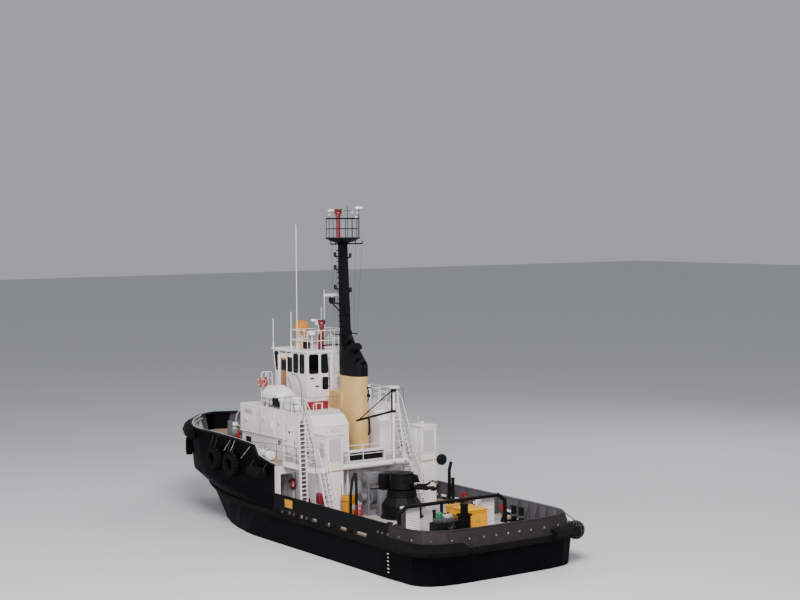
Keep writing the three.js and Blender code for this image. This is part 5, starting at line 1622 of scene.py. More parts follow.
    def _aft_ladder(self) -> None:
        """Stands the ladder against the after wall, bent over the roof's edge."""
        steps = Shape("wheelhouse_ladder", WHITE_TRIM)
        x, wall = self.aft - 0.14, self.aft - 0.03
        bend = ((0, 7.56), (0, 11.7), (0.06, 11.9), (0.2, 11.98), (0.5, 11.9), (0.55, BRIDGE_ROOF))
        for y in (-0.06, -0.48):
            steps.tube([(x + ahead, y, z) for ahead, z in bend], 0.022)
            for z in (8.8, 10.0):
                steps.rod((x, y, z), (self.aft, y, z), 0.016, 6)
        for k in range(12):
            z = 7.85 + k * 0.3
            steps.rod((x, -0.06, z), (x, -0.48, z), 0.014, 6)
        steps.tube([(wall, 0.14, 10.95), (wall, 0.12, 9.2), (wall, 0.06, 7.6)], 0.014, 6, DARK_STEEL)
        steps.build()

    def _roof_gear(self) -> None:
        """Covers the searchlight, stands drums, boxes and aerial feet on the roof, and rounds its edge."""
        gear = Shape("wheelhouse_roof_gear", WHITE_TRIM)
        x, y, z = 3.72, 0.44, 12.35
        profile = [
            (0.0, 0.38), (0.16, 0.36), (0.3, 0.29), (0.41, 0.16), (0.455, 0.0), (0.465, -0.1), (0.42, -0.2),
            (0.36, -0.3), (0.39, -0.36), (0.35, -0.37), (0.0, -0.34),
        ]
        gear.lathe(profile, (x, y, z), UP, 28, ORANGE_COVER)
        gear.ring((x, y, z - 0.3), UP, 0.37, 0.014, 28, 6, GASKET)
        roof = BRIDGE_ROOF
        for c, s in directions(4, math.pi / 4):
            foot = (x + 0.42 * c, y + 0.42 * s, roof)
            gear.rod(foot, (x + 0.26 * c, y + 0.26 * s, 12.02), 0.03, finish=ORANGE_PAINT)
            gear.rod(foot, (x - 0.3 * s, y + 0.3 * c, 11.98), 0.018, 6, ORANGE_PAINT)
        drum = [(0, 0), (0.2, 0), (0.24, 0.03), (0.24, 0.24), (0.2, 0.28), (0, 0.29)]
        gear.lathe(drum, (2.7, 0.3, 11.84), UP, finish=WHITE_MOULDING)
        gear.rod((2.7, 0.3, roof), (2.7, 0.3, 11.86), 0.05, 10)
        gear.block((2.62, 0.5, roof), (2.98, 0.8, roof + 0.5), 0.02, BLACK_PAINT)
        gear.block((4.2, -0.5, roof), (4.7, 0.1, roof + 0.22), 0.03)
        gear.tube([(1.15, -1.1, 11.3), (1.15, 0.6, 11.3)], 0.045, finish=BLACK_PAINT)
        stubs = (
            (4.3, -1.4, 0.3), (5.12, 1.69, 0.3), (3.0, 1.64, 0.35), (2.29, 1.64, 0.5), (3.06, -0.85, 0.35)
        )
        for x, y, tall in stubs:
            gear.rod((x, y, roof), (x, y, roof + tall), 0.05, 10, tip=0.036)
        edge, z = 1.76, roof - 0.075
        gear.tube([(0.96, edge, z), (5.19, edge, z), (5.19, -edge, z), (0.96, -edge, z)], 0.045, loop=True)
        trumpet = [(0, 0), (0.06, 0), (0.09, 0.12), (0.14, 0.3), (0.13, 0.3), (0.05, 0.1), (0, 0.1)]
        for k in range(3):
            gear.lathe(trumpet, (4.75, -0.9 + k * 0.22, 11.2), AHEAD, 14)
        gear.build()

    def _monitor_sleeve(self) -> None:
        """Slips the pale nozzle sleeves over both monitors' barrels and flanges their risers."""
        for name, at, long in (
            ("roof", Vector((1.81, 0.14, 12.75)), 1.1), ("mast", Vector((-0.45, 0.3, 19.6)), 1.0)
        ):
            sleeve = Shape(f"{name}_monitor_sleeve", WHITE_TRIM)
            profile = [
                (0.08, 0), (0.1, 0.01), (0.1, 0.1), (0.088, 0.12), (0.086, long * 0.72), (0.098, long * 0.74),
                (0.09, long * 0.86), (0.066, long * 0.86), (0.08, 0),
            ]
            sleeve.lathe(profile, at + Vector((long * 0.18, 0, 0)), AHEAD, 18)
            sleeve.build(f"{name}_monitor_barrel_body")
        flanges = Shape("roof_monitor_flanges", MONITOR_RED)
        x, y = 1.81, 0.14
        for z in (11.02, 11.7, 12.3):
            flanges.lathe([(0.12, 0), (0.2, 0), (0.2, 0.04), (0.12, 0.04), (0.12, 0)], (x, y, z), UP, 18)
        flanges.ring((1.6, y, 11.8), AHEAD, 0.13, 0.016, 16, 6)
        flanges.rod((1.72, y, 11.8), (1.6, y, 11.8), 0.025, finish=BARE_STEEL)
        flanges.tube([(x, 0.35, BRIDGE_ROOF), (x, 0.35, 11.9), (x, y, 12.1)], 0.06, 10)
        flanges.build()


@dataclass
class FunnelAndMast:
    """Louvres, brackets and rims on the funnel; lamps, pegs, lines and aerials on the mast."""

    column_x: float = -1.62
    intake_half: float = 0.6
    platform_x: float = -0.48
    platform_z: float = 18.0
    aerials: tuple[tuple[float, float, float, float], ...] = (
        (-1.35, -0.42, 19.13, 0.07), (-1.2, -0.63, 19.42, 0.055), (-1.42, -0.1, 19.44, 0.055),
        (0.4, 0.4, 19.3, 0.06),
    )
    halyards: tuple[tuple[float, Point], ...] = (
        (0.83, (-0.42, 0.62, 13.0)), (0.5, (-0.42, 0.34, 12.9)), (-1.43, (-1.0, -0.62, 12.1)),
        (-0.95, (-0.9, -0.5, 12.1)),
    )
    lamps: tuple[tuple[float, int], ...] = ((14.65, -1), (14.85, 1), (16.05, 1), (16.75, -1), (16.82, 1))
    exhausts: tuple[tuple[Point, Point, float], ...] = (
        ((-1.42, 0.12, 11.908), (-0.77, 0, 0.63), 0.19), ((-2.04, -0.06, 11.414), (-0.87, 0, 0.49), 0.215)
    )

    def build(self) -> None:
        """Makes the funnel's and the mast's fittings."""
        self._louvres()
        self._funnel_gear()
        self._mast_gear()
        self._platform_gear()
        self._lines()

    def _louvres(self) -> None:
        """Fills each side of the intake with slanted louvre blades in a frame."""
        blades = Shape("funnel_intake_louvres", BUFF_PAINT)
        for side in PORT_AND_STARBOARD:
            y = side * self.intake_half
            turn = Matrix.Rotation(side * math.radians(35), 3, "X")
            for k in range(11):
                z = 7.66 + k * 0.085
                blades.block((-1.02, y - 0.035, z - 0.007), (0.22, y + 0.035, z + 0.007), turn=turn)
            blades.tube(side_on(y, -1.06, 0.26, 7.6, 8.6), 0.025, 6, loop=True)
        blades.build()

    def _funnel_gear(self) -> None:
        """Adds the colour band's rim, the black brackets and pipes, the whistle, the exhausts' lips, and a
        black disc in each exhaust's mouth for its soot and painted shade.
        """
        gear = Shape("funnel_gear", BLACK_PAINT)
        for z, share in ((9.65, 0.0), (4.9, 0.06)):
            line = []
            for c, s in directions(28):
                x = math.copysign(abs(c) ** (2 / 3), c) * (1.08 + share)
                y = math.copysign(abs(s) ** (2 / 3), s) * 0.54
                line.append((x + self.column_x - share, y, z))
            gear.tube(line, 0.018, 6, FUNNEL_BLACK if z > 9 else BUFF_PAINT, True)
        for x, z, tall in ((-3.05, 8.94, 0.07), (-2.98, 8.42, 0.16)):
            gear.block((x, -0.28, z), (-2.6, -0.18, z + tall), 0.01)
        upper = ((-2.66, 8.98), (-2.84, 8.8), (-2.84, 8.3), (-2.68, 8.1))
        gear.tube([(x, -0.24, z) for x, z in upper], 0.035)
        lower = ((-2.66, 7.15), (-2.84, 7.05), (-2.86, 6.3), (-2.68, 6.1))
        gear.tube([(x, -0.26, z) for x, z in lower], 0.06, 10)
        whistle = [(0, 0), (0.05, 0), (0.06, 0.14), (0.13, 0.34), (0.11, 0.34), (0.04, 0.14), (0, 0.12)]
        gear.lathe(whistle, (-2.5, 0.1, 10.42), (-1, 0, 0.1), 16)
        for place, aim, radius in self.exhausts:
            gear.ring(place, aim, radius, 0.03, 22, 6, FUNNEL_BLACK)
            # Black disc in each exhaust's mouth: partly the soot inside, partly painted shade in the pipe
            gear.disc(place, aim, radius * 0.8, 0.06, 22, GASKET)
        for z in (10.2, 10.75):
            gear.block((-2.1, 0.5, z), (-1.2, 0.57, z + 0.03), 0.006, FUNNEL_BLACK)
        gear.build()

    def _mast_gear(self) -> None:
        """Steps the mast with pegs, lenses its lamps and hangs its boxes and cables."""
        gear = Shape("mast_gear", BLACK_PAINT)
        for k in range(15):
            z = 12.55 + k * 0.33
            x = -0.66 + (z - 12.3) * 0.039
            aft, fore = x - 0.05, x + 0.12
            gear.tube([(aft, 0.2, z), (aft, 0.36, z), (fore, 0.36, z), (fore, 0.2, z)], 0.03, 6)
        lens = [(0, 0.03), (0.088, 0.03), (0.092, 0.1), (0.088, 0.18), (0, 0.18)]
        hood = [(0, 0.18), (0.095, 0.18), (0.085, 0.23), (0.03, 0.26), (0, 0.26)]
        for z, side in self.lamps:
            at = (-0.45, side * 0.55, z)
            gear.lathe(lens, at, UP, 16, WINDOW_GLASS)
            gear.lathe(hood, at, UP, 16)
            gear.rod((-0.45, side * 0.2, z - 0.2), (-0.45, side * 0.52, z - 0.02), 0.018, 6)
        for y in (-0.1, 0.0, 0.1):
            gear.tube([(-0.9, y, 12.3), (-0.84, y, 14.0), (-0.7, y, 17.7)], 0.014, 6, GASKET)
        gear.block((-1.02, -0.16, 13.3), (-0.86, 0.16, 13.75), 0.015)
        dish = [
            (0.24, -0.24), (0.5, -0.2), (0.85, -0.09), (0.99, 0.0), (0.9, 0.005), (0.24, -0.18), (0.24, -0.24)
        ]
        x = self.platform_x
        gear.lathe(dish, (x, 0, 17.89), UP, 32, FUNNEL_BLACK)
        for c, s in directions(8):
            gear.rod((x + 0.22 * c, 0.22 * s, 17.6), (x + 0.86 * c, 0.86 * s, 17.8), 0.02, 6, FUNNEL_BLACK)
        for y in (-1.45, -0.95, 0.5, 0.85):
            gear.rod((-0.45, y, 17.57), (-0.45, y, 17.74), 0.03)
        pot = [(0, 0), (0.19, 0), (0.2, 0.1), (0.2, 0.26), (0.14, 0.3), (0, 0.3)]
        gear.lathe(pot, (0.8, 0, 13.98), UP, 20)
        gear.build()

    def _platform_gear(self) -> None:
        """Rounds the platform's edge and crowds its rail with lamps, aerials and the white dome."""
        gear = Shape("mast_platform_gear", BLACK_PAINT)
        gear.ring((self.platform_x, 0, 17.93), UP, 1.05, 0.04, 40, 6, FUNNEL_BLACK)
        gear.ring((self.platform_x, 0, 19.14), UP, 1.02, 0.024, 40, 6)
        dome = [(0, 0), (0.25, 0), (0.262, 0.05), (0.22, 0.12), (0.1, 0.16), (0, 0.17)]
        gear.lathe(dome, (-1.05, -0.82, 19.7), UP, finish=WHITE_MOULDING)
        for x, y, z, size in self.aerials:
            gear.rod((x, y, self.platform_z), (x, y, z), 0.012, 6)
            gear.ball((x, y, z + size * 0.6), (size, size, size), 6, WHITE_MOULDING)
        gear.rod((-0.1, -0.6, self.platform_z), (-0.1, -0.6, 19.9), 0.018, 6)
        gear.tube([(-0.1, -0.85, 19.6), (-0.1, -0.35, 19.6)], 0.012, 6)
        gear.build()

    def _lines(self) -> None:
        """Stretches the signal halyards and stays between the yard, the rails and the roof."""
        lines = Shape("signal_halyards", DARK_ROPE)
        for yard_y, end in self.halyards:
            lines.rod((-0.45, yard_y, 17.57), end, 0.009, 6)
        for y in (-0.62, 0.62):
            lines.block((-1.06, y - 0.04, 12.06), (-0.36, y + 0.04, 12.12), 0.01, FUNNEL_BLACK)
        lines.build()


@dataclass
class TowDeckFittings:
    """Winch rope and gearbox, hook carriage, vents, power pack, engine and bitts of the aft deck."""

    deck: float = AFT_DECK
    winch: tuple[float, float, float] = (-4.82, 0.55, 2.8)
    rope_layers: tuple[tuple[int, float, float], ...] = ((12, -0.545, 0.335), (11, -0.495, 0.42))
    hook: tuple[float, float] = (-6.6, 0.0)
    hook_turn: float = 0.5

    def build(self) -> None:
        """Makes the aft deck's fittings."""
        self._winch()
        self._hook()
        self._vents()
        self._power_pack()
        self._engine()
        self._posts()
        self._bin()
        self._quarter_ball()

    def _winch(self) -> None:
        """Winds rope on the tow winch's drum and bolts its gearbox and cabinet beside it."""
        x, y, z = self.winch
        rope = Shape("tow_winch_rope", DARK_ROPE)
        for turns, first, radius in self.rope_layers:
            for k in range(turns):
                rope.ring((x, y + first + k * 0.099, z), TO_PORT, radius, 0.048, minor=6)
        for side in PORT_AND_STARBOARD:
            rim = y + side * 0.66
            for c, s in directions(8):
                rope.rod(
                    (x + 0.2 * c, rim, z + 0.2 * s), (x + 0.46 * c, rim, z + 0.46 * s), 0.02, 6, GREY_PAINT
                )
        rope.build("tow_winch_drum_body")
        gear = Shape("tow_winch_gearbox", GREY_PAINT)
        gear.block((-5.17, 0.5, 3.42), (-4.48, 1.44, 4.26), 0.07)
        gear.block((-5.22, 0.6, 3.6), (-5.16, 1.34, 4.1), 0.02)
        cover = [(0, 0), (0.24, 0), (0.26, 0.04), (0.26, 0.1), (0.1, 0.14), (0, 0.14)]
        gear.lathe(cover, (-4.83, 1.44, 3.86), TO_PORT, 20)
        motor = [(0, 0), (0.2, 0), (0.21, 0.5), (0.17, 0.56), (0, 0.57)]
        gear.lathe(motor, (-4.83, 0.5, 3.86), -TO_PORT, 20)
        gear.block((-5.78, 0.36, self.deck), (-5.42, 0.98, 3.3), 0.03)
        gear.block((-5.8, 0.44, 2.5), (-5.77, 0.9, 3.2), 0.008)
        gear.block((-5.84, 0.28, 3.3), (-5.4, 0.86, 4.22), 0.05, BLACK_PAINT)
        for k in range(4):
            y = 0.46 + k * 0.14
            gear.rod((-5.6, y, 3.3), (-5.62, y, 3.52), 0.012, 6, BLACK_PAINT)
            gear.ball((-5.62, y, 3.54), (0.025, 0.025, 0.025), 5, RED_PAINT)
        for y in (-0.22, 1.34):
            gear.tube([(-5.1, y, 2.1), (-4.82, y, 2.35), (-4.54, y, 2.1)], 0.03, 6)
        gear.build()

    def _hook(self) -> None:
        """Builds the hook's carriage and the crescent at its end, and bolts and ribs its pedestal."""
        x, y = self.hook
        hook = Shape("tow_hook_carriage", BLACK_PAINT)
        turret = [
            (0, -0.32), (0.7, -0.32), (0.74, -0.28), (0.72, 0.1), (0.64, 0.14), (0.63, 0.5), (0.68, 0.53),
            (0.68, 0.62), (0.3, 0.68), (0, 0.7),
        ]
        hook.lathe(turret, (x, y, 3.735), UP, 28)
        aim = Vector((-math.cos(self.hook_turn), -math.sin(self.hook_turn), 0))
        across = beside(aim)
        base = Vector((x, y, 0))
        for shift in (-0.42, 0.42):
            start = base + across * shift + aim * 0.2
            cheek = [
                start + aim * along + UP * z for along, z in ((0, 3.76), (0.75, 3.76), (0.6, 4.2), (0, 4.3))
            ]
            hook.plate(cheek, across * 0.06, 0.01)
        for shift, height in ((0.2, 4.0), (-0.2, 4.0), (0.0, 4.15)):
            start = base + across * shift + UP * height
            hook.rod(start, start + aim * 0.95, 0.09, 12)
        tip = base + aim * 2.0 + UP * 3.72
        turns = [math.pi * (k / 8 - 0.62) for k in range(13)]
        arc = [tip + aim * 0.27 * math.cos(t) + UP * 0.27 * math.sin(t) for t in turns]
        hook.tube(arc, 0.055, 10)
        hook.tube([base + aim * 1.0 + UP * 3.7, base + aim * 1.5 + UP * 3.72, arc[-1]], 0.07, 10)
        for t in (0.5, 1.2, 1.9):
            spot = tip + aim * 0.27 * math.cos(t) + UP * 0.27 * math.sin(t)
            hook.ring(spot, UP * math.cos(t) - aim * math.sin(t), 0.062, 0.018, 12, 6, WHITE_ROPE)
        hook.build("tow_hook_body")
        gear = Shape("hook_pedestal_bands", BLACK_PAINT)
        for z, radius in ((1.83, 1.16), (2.5, 1.15), (3.05, 0.86)):
            gear.ring((x, y, z), UP, radius, 0.035, 40, 6)
        flange = 1.22
        for c, s in directions(20):
            foot = Vector((x + flange * c, y + flange * s, self.deck))
            gear.rod(foot, foot + UP * 0.06, 0.03, 6, BARE_STEEL)
        gear.ring((x, y, self.deck + 0.015), UP, flange, 0.05, 40, 6)
        gear.build()

    def _vents(self) -> None:
        """Slats the after faces of both deck vents and darkens their outer sides."""
        for side, name in NAMED_SIDES:
            vent = Shape(f"deck_vent_louvres_{name}", WHITE_TRIM)
            mid, half = side * 2.6, 0.38
            turn = Matrix.Rotation(math.radians(-35), 3, "Y")
            for k in range(13):
                z = 1.98 + k * 0.092
                vent.block((-11.44, mid - half, z - 0.008), (-11.38, mid + half, z + 0.008), turn=turn)
            vent.tube(athwart(-11.41, mid - 0.4, mid + 0.4, 1.93, 3.16), 0.022, 6, loop=True)
            vent.block((-11.38, side * 3.045, 1.78), (-10.82, side * 3.065, 3.2), 0.004, DARK_STEEL)
            vent.build()

    def _power_pack(self) -> None:
        """Frames the orange power pack with a lid, doors, louvres, eyes and an exhaust."""
        pack = Shape("power_pack_trim", ORANGE_PAINT)
        pack.block((-13.04, -1.34, 2.98), (-10.86, 0.04, 3.07), 0.025)
        for y in (-1.29, -0.01):
            pack.block((-13.03, y - 0.03, self.deck), (-12.97, y + 0.03, 3.0), 0.01)
        pack.tube(athwart(-13.015, -1.2, -0.1, 1.9, 2.9), 0.014, 6, loop=True)
        pack.rod((-13.01, -0.65, 1.9), (-13.01, -0.65, 2.9), 0.012, 6)
        for y in (-0.73, -0.57):
            pack.block((-13.05, y - 0.015, 2.35), (-13.0, y + 0.015, 2.5), 0.005, BARE_STEEL)
        for y in (-1.31, 0.01):
            for k in range(7):
                z = 2.1 + k * 0.09
                pack.block((-12.3, y - 0.02, z - 0.008), (-11.6, y + 0.02, z + 0.012), finish=BLACK_PAINT)
        for x in (-12.8, -11.1):
            for y in (-1.15, -0.15):
                pack.ring((x, y, 3.1), TO_PORT, 0.05, 0.016, 12, 6)
        exhaust = ((-11.3, 3.05), (-11.3, 3.4), (-11.38, 3.5), (-11.52, 3.52))
        pack.tube([(x, -1.0, z) for x, z in exhaust], 0.05, 10, RUSTY_STEEL)
        pack.block((-12.9, -0.9, 3.07), (-12.2, -0.4, 3.11), 0.01)
        pack.build()

    def _engine(self) -> None:
        """Sets the black pump engine on its skid between the vent and the square bitt."""
        engine = Shape("deck_engine", BLACK_PAINT)
        for y in (0.42, 1.98):
            engine.block((-12.95, y, self.deck), (-11.85, y + 0.1, self.deck + 0.14), 0.01)
        engine.block((-12.8, 0.5, 1.89), (-12.0, 1.95, 2.5), 0.05)
        engine.block((-12.7, 0.7, 2.48), (-12.1, 1.8, 2.72), 0.04, DARK_STEEL)
        engine.block((-12.62, 0.8, 2.7), (-12.2, 1.3, 2.9), 0.05, PALE_GREY)
        flywheel = [(0, 0), (0.28, 0), (0.3, 0.03), (0.3, 0.09), (0.28, 0.12), (0, 0.12)]
        engine.lathe(flywheel, (-12.82, 1.1, 2.25), AFT)
        for c, s in directions(6):
            engine.rod((-12.95, 1.1, 2.25), (-12.95, 1.1 + 0.25 * c, 2.25 + 0.25 * s), 0.018, 6, DARK_STEEL)
        for y in (0.62, 1.62, 1.8):
            hose = [(-12.85, y, 1.95), (-12.9, y, 2.2), (-12.86, y, 2.5), (-12.6, y, 2.66)]
            engine.tube(hose, 0.03, finish=GASKET)
        for k in range(4):
            y = 0.95 + k * 0.22
            engine.rod((-12.4, y, 2.7), (-12.4, y, 2.98), 0.06, 10)
        engine.rod((-12.15, 1.7, 2.7), (-12.15, 1.7, 3.1), 0.09, 12)
        engine.ball((-12.15, 1.7, 3.12), (0.13, 0.13, 0.06), 6)
        pump = [(0, 0), (0.15, 0), (0.17, 0.05), (0.17, 0.3), (0.12, 0.36), (0, 0.37)]
        engine.lathe(pump, (-12.5, 1.62, 2.72), UP, 16, GREEN_PAINT)
        engine.build()

    def _posts(self) -> None:
        """Stands the starboard post, fire gear, hose stand and wheel, and caps and bases the bitts."""
        posts = Shape("aft_deck_posts", BLACK_PAINT)
        x, y, top = -5.72, -4.35, 3.4
        posts.rod((x, y, self.deck), (x, y, top), 0.1, 14)
        posts.lathe([(0.1, 0), (0.13, 0.02), (0.13, 0.08), (0, 0.12)], (x, y, top), UP, 14)
        bitt_cap = [(0.15, 0), (0.2, 0.015), (0.2, 0.07), (0.12, 0.11), (0, 0.12)]
        for x, tall in ((-6.15, 0.55), (-8.1, 0.6), (-9.85, 0.4)):
            posts.block((x - 0.14, -4.98, 2.05), (x + 0.14, -4.76, 2.05 + tall), 0.03, RED_PAINT)
            posts.block((x - 0.02, -5.1, 2.1), (x + 0.02, -4.95, 2.3), finish=DARK_STEEL)
        for side in PORT_AND_STARBOARD:
            y = side * 4.3
            for x in (-11.6, -12.3):
                posts.lathe(bitt_cap, (x, y, 2.58), UP, 18)
                for z in (2.1, 2.17):
                    posts.ring((x, y, z), UP, 0.16, 0.03, 18, 6, DARK_ROPE)
            posts.tube([(-11.6, side * 3.72, 1.8), (-11.25, side * 3.7, 1.8)], 0.09, 10)
            posts.ring((-11.95, y, 1.79), UP, 0.75, 0.025, minor=6, finish=RED_PAINT)
            knee = [(-11.5, side * 3.71, 1.76), (-11.1, side * 3.71, 1.76), (-11.5, side * 3.67, 2.4)]
            posts.plate(knee, (0, side * 0.03, 0))
        posts.block((-13.67, 0.23, 2.9), (-13.03, 0.87, 3.0), 0.02)
        posts.block((-13.53, 0.37, 3.5), (-13.17, 0.73, 3.57), 0.02)
        posts.rod((-13.7, 0.55, 2.4), (-13.6, 0.55, 2.4), 0.14, 14)
        x, y = -6.55, 2.98
        for dy in (-0.25, 0.25):
            leg = y + dy
            posts.tube(
                [(x - 0.22, leg, self.deck), (x, y + dy * 0.8, 2.72), (x + 0.22, leg, self.deck)], 0.03,
                finish=RED_PAINT,
            )
        posts.rod((x, y - 0.24, 2.7), (x, y + 0.24, 2.7), 0.035, finish=RED_PAINT)
        for z in (2.0, 2.22, 2.45):
            posts.rod((x - 0.1, y - 0.23, z), (x - 0.1, y + 0.23, z), 0.03, finish=RED_PAINT)
        posts.ring((x - 0.13, y, 2.2), (1, 0, 0.25), 0.14, 0.03, 18, 6, RED_PAINT)
        wheel = [(0, 0), (0.28, 0), (0.33, 0.04), (0.34, 0.13), (0.33, 0.22), (0.28, 0.26), (0, 0.26)]
        posts.lathe(wheel, (-4.3, -4.47, 4.43), AFT, 26, GASKET)
        posts.rod((-4.36, -4.3, 4.43), (-4.36, -3.86, 4.43), 0.05, 10)
        posts.build()

    def _bin(self) -> None:
        """Gives the yellow bin its lid's rims and knob, a blank label and ribs."""
        trim = Shape("bin_trim", YELLOW_PLASTIC)
        x, y = -5.16, 2.7
        trim.ring((x, y, self.deck + 1.12), UP, 0.5, 0.022, 32, 6)
        trim.ring((x, y, self.deck + 1.3), UP, 0.48, 0.02, 32, 6)
        trim.block((x - 0.12, y - 0.06, self.deck + 1.31), (x + 0.12, y + 0.06, self.deck + 1.36), 0.015)
        label = ((0.455, -0.14, 2.3), (0.455, 0.14, 2.3), (0.468, 0.14, 2.62), (0.468, -0.14, 2.62))
        trim.plate([(x - aft, y + aside, z) for aft, aside, z in label], (-0.012, 0, 0), 0.003, PALE_GREY)
        for c, s in directions(10):
            foot = (x + 0.425 * c, y + 0.425 * s, self.deck + 0.1)
            trim.rod(foot, (x + 0.472 * c, y + 0.472 * s, self.deck + 1.05), 0.012, 6)
        trim.build()

    def _quarter_ball(self) -> None:
        """Hangs the netted ball fender at the starboard quarter."""
        ball = Shape("quarter_ball_fender", DARK_ROPE)
        centre, radius = Vector((-15.88, -5.24, 1.84)), 0.5
        ball.ball(centre, (radius, radius, radius), 12, FENDER_RUBBER)
        for k in range(6):
            turn = math.pi * k / 6
            ball.ring(centre, (math.cos(turn), math.sin(turn), 0), radius + 0.012, 0.018, 28, 5)
        for height in (-0.3, 0.0, 0.3):
            ball.ring(centre + UP * height, UP, math.sqrt(radius**2 - height**2) + 0.012, 0.018, 28, 5)
        chain = [centre + UP * radius, centre + Vector((0.2, 0.25, 0.75)), Vector((-15.3, -4.75, 2.86))]
        ball.tube(chain, 0.025, 6, GALVANISED_CHAIN)
        ball.build()


@dataclass
class BoatsAndRaft:
    """Trim and cradle of the rescue boat, the lifebuoys ahead of it, and the raft's straps."""

    boat: tuple[float, float, float] = (0.9, 2.96, 8.23)

    def build(self) -> None:
        """Makes the boats' fittings."""
        self._rescue_boat()
        self._posts()
        self._raft()

    def _rescue_boat(self) -> None:
        """Bands the boat's shell and adds its hatches, boxes, grab lines and cradle, and a black block
        painted as the shadow under its port side.
        """
        trim = Shape("rescue_boat_trim", DARK_STEEL)
        x, y, z = self.boat
        profile = (
            (0.05, 0.1), (0.45, 0.44), (0.75, 0.625), (1.5, 0.672), (2.3, 0.612), (2.7, 0.45), (2.98, 0.08)
        )
        for side in PORT_AND_STARBOARD:
            band = [(x + along, y + side * radius * 0.985, z - 0.1) for along, radius in profile]
            trim.tube(band, 0.04, finish=PALE_GREY)
            grab = []
            for k, (along, radius) in enumerate(profile[1:-1], 1):
                grab.append((x + along, y + side * (radius + 0.01), z - 0.18 - 0.05 * (k % 2)))
            trim.tube(grab, 0.012, 6)
        for along, radius in ((0.75, 0.625), (1.5, 0.668), (2.3, 0.612)):
            trim.ring((x + along, y, z), AHEAD, radius, 0.012, 32, 6, WHITE_MOULDING)
        # Painted shadow: a black block under the boat's belly, where its shadow falls on the roof
        trim.block((1.42, 3.42, 7.7), (1.94, 3.68, 8.22), 0.03, GASKET)
        trim.block((-0.42, 2.98, HOUSE_ROOF), (0.84, 3.58, 8.5), 0.16, WHITE_MOULDING)
        trim.block((-0.45, 2.95, 8.0), (0.87, 3.61, 8.06), 0.02, PALE_GREY)
        for dx in (0.0, 0.42, 0.84):
            trim.rod((-0.36 + dx, 3.585, 7.62), (-0.36 + dx, 3.585, 8.2), 0.012, 6, PALE_GREY)
        trim.block((1.9, 2.75, 8.82), (2.6, 3.17, 8.92), 0.04, WHITE_MOULDING)
        chock = ((0.5, HOUSE_ROOF), (0.52, 7.75), (0.42, 7.85))
        for along in (0.6, 2.3):
            for side in PORT_AND_STARBOARD:
                trim.tube([(x + along, y + side * aside, height) for aside, height in chock], 0.04)
        rail = ((2.2, 7.56), (2.18, 8.1), (1.6, 8.2), (-0.4, 8.46), (-0.62, 8.36), (-0.8, 7.56))
        trim.tube([(along, 3.74, height) for along, height in rail], 0.018)
        trim.tube([(0.9, 3.74, 7.56), (0.9, 3.74, 8.28)], 0.014, 6)
        trim.build()

    def _posts(self) -> None:
        """Stands the hooped posts ahead of the boat, with two lifebuoys on them."""
        posts = Shape("lifebuoy_posts", WHITE_TRIM)
        for x, top, end in ((4.25, 9.58, HOUSE_ROOF), (3.72, 9.62, 8.9)):
            bend = ((2.62, top - 0.14), (2.7, top - 0.02), (2.84, top), (3.0, top - 0.02), (3.08, top - 0.14))
            line = [(2.62, HOUSE_ROOF), *bend, (3.08, end)]
            posts.tube([(x, y, z) for y, z in line], 0.03)
        for z in (8.5, 9.2):
            posts.rod((4.25, 2.62, z), (3.72, 2.62, z), 0.022)
        for x, z, finish in ((4.22, 8.93, LIFEBUOY_ORANGE), (3.6, 9.02, RED_PAINT)):
            posts.ring((x, 3.16, z), (0.2, 1, 0), 0.25, 0.065, 28, finish=finish)
            for c, s in directions(4, math.pi / 4):
                posts.ring((x + 0.25 * c, 3.16, z + 0.25 * s), (-s, 0, c), 0.062, 0.022, 12, 6)
        posts.build()

    def _raft(self) -> None:
        """Straps the life raft's canister and rounds its ends."""
        trim = Shape("life_raft_straps", WHITE_MOULDING)
        for x, finish in ((1.1, DARK_STEEL), (1.45, WHITE_MOULDING), (1.8, DARK_STEEL)):
            trim.ring((x, 4.45, 4.87), AHEAD, 0.325, 0.016, 28, 6, finish)
        for x, aim in ((0.85, -1), (2.05, 1)):
            trim.lathe([(0.31, 0), (0.28, 0.05), (0.16, 0.09), (0, 0.1)], (x, 4.45, 4.87), (aim, 0, 0))
        trim.build()


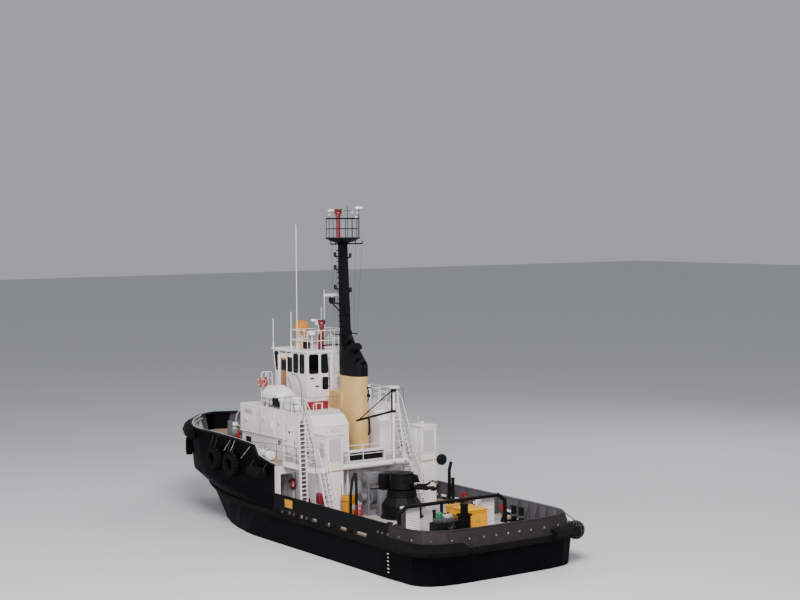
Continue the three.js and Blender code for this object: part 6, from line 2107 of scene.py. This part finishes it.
@dataclass
class SideRails:
    """Dark rails along the boat deck and roof, and painted shade: strips on the ladders' treads, a board and
    bands behind the gangway, and plates behind the towers' louvres.
    """

    deck_y: float = 4.6
    deck_line: tuple[tuple[float, float], ...] = (
        (2.85, -0.2), (1.25, -0.1), (-0.1, 0.0), (-2.4, 0.0), (-3.15, -0.05)
    )
    roof_y: float = 3.74
    gangway_shade_bands: int = 23
    ladders: tuple[tuple[Point, Point, float, int], ...] = (
        ((-5.69, 4.2, AFT_DECK), (-4.61, 4.2, BOAT_DECK), 0.25, 9),
        ((-5.45, -2.35, AFT_DECK), (-3.45, -2.35, BOAT_DECK), 0.31, 9),
        ((-3.23, 4.07, BOAT_DECK), (-2.26, 4.07, HOUSE_ROOF), 0.25, 10),
        ((-3.95, -2.2, BOAT_DECK), (-2.77, -2.2, HOUSE_ROOF), 0.28, 10),
    )

    def build(self) -> None:
        """Makes the rails."""
        rails = Shape("port_side_rails", DARK_STEEL)
        for side in PORT_AND_STARBOARD:
            y = side * self.deck_y
            for z in (5.25, 5.68):
                rails.tube([(x, y, z + rise) for x, rise in self.deck_line], 0.016, 6)
            for x, rise in (*self.deck_line, (-1.3, 0.0)):
                rails.rod((x, y, BOAT_DECK), (x, y, 5.68 + rise), 0.018, 6)
            y = side * self.roof_y
            roof = HOUSE_ROOF
            rails.tube([(-0.32, y, roof), (-0.32, y, 8.51), (-1.37, y, 8.58), (-1.52, y, roof)], 0.018)
            rails.tube([(-0.32, y, 8.05), (-1.44, y, 8.1)], 0.014, 6)
            rails.rod((-0.85, y, roof), (-0.85, y, 8.54), 0.014, 6)
            hoop = (
                (5.74, 3.78, 7.13), (5.76, 4.0, 6.9), (5.78, 4.1, 6.53), (5.76, 4.0, 6.22), (5.74, 3.78, 6.05)
            )
            rails.tube([(x, side * y, z) for x, y, z in hoop], 0.03, finish=PALE_GREY)
        rails.tube(
            [
                (-3.3, 4.62, 7.5), (-3.3, 4.62, 8.3), (-4.26, 4.62, 6.07), (-5.06, 4.66, 3.02),
                (-5.1, 4.7, 1.78),
            ],
            0.018,
        )
        rails.build()
        # Painted shade: a dark grey board behind the gangway and black bands across it stand in for the shade
        # between its white rungs
        shade_and_trim = Shape("gangway_painted_shade_and_trim", GREY_PAINT)
        shade_and_trim.plate(
            [(-3.67, 4.69, 1.85), (-3.67, 5.05, 1.85), (-3.4, 5.05, 7.4), (-3.4, 4.69, 7.4)], (0.012, 0, 0)
        )
        for k in range(self.gangway_shade_bands):
            share = k / self.gangway_shade_bands
            x, z = -3.73 + 0.27 * share, 1.95 + 5.4 * share
            shade_and_trim.block((x, 4.69, z), (x + 0.03, 5.05, z + 0.03), finish=GASKET)
        # Painted shade: pale grey plates behind the towers' louvre blades darken the gaps between them
        for side in PORT_AND_STARBOARD:
            shade_and_trim.block((-4.662, side * 2.9, 5.0), (-4.652, side * 3.8, 6.35), finish=PALE_GREY)
        # Painted shade: a dark strip on the after face of each ladder tread, where its shade falls
        for foot, head, half, treads in self.ladders:
            for k in range(1, treads + 1):
                at = Vector(foot).lerp(Vector(head), k / (treads + 1))
                low, high = Vector((-0.1, 0.02 - half, -0.022)), Vector((-0.088, half - 0.02, 0.012))
                shade_and_trim.block(at + low, at + high, finish=DARK_STEEL)
        shade_and_trim.rod((5.86, 3.88, 5.2), (5.86, 3.88, 5.83), 0.07, 12, RED_PAINT)
        shade_and_trim.ball((0.9, 3.86, 6.84), (0.09, 0.08, 0.09), 6, ORANGE_PAINT)
        shade_and_trim.block((0.972, -0.74, 9.56), (0.992, -0.2, 10.82), 0.004, WHITE_PAINT)
        shade_and_trim.build()


def corners(box: tuple[Vector, Vector]) -> list[list[float]]:
    """Returns a box's two corners as plain lists."""
    return [[float(v) for v in corner] for corner in box]


def main() -> None:
    """Builds the boat's finishes and fittings in order."""
    logging.basicConfig(level=logging.INFO, format="%(name)s: %(message)s")
    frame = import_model()
    Studio().build()
    nodes = frame["nodes"]
    dress_nodes(nodes)
    skin = HullForm(nodes)
    HullFittings(skin).build()
    TyreFenders(skin).build()
    ForedeckFittings(skin).build()
    HouseFittings().build()
    WheelhouseFittings().build()
    FunnelAndMast().build()
    TowDeckFittings().build()
    BoatsAndRaft().build()
    SideRails().build()


if __name__ == "__main__":
    main()
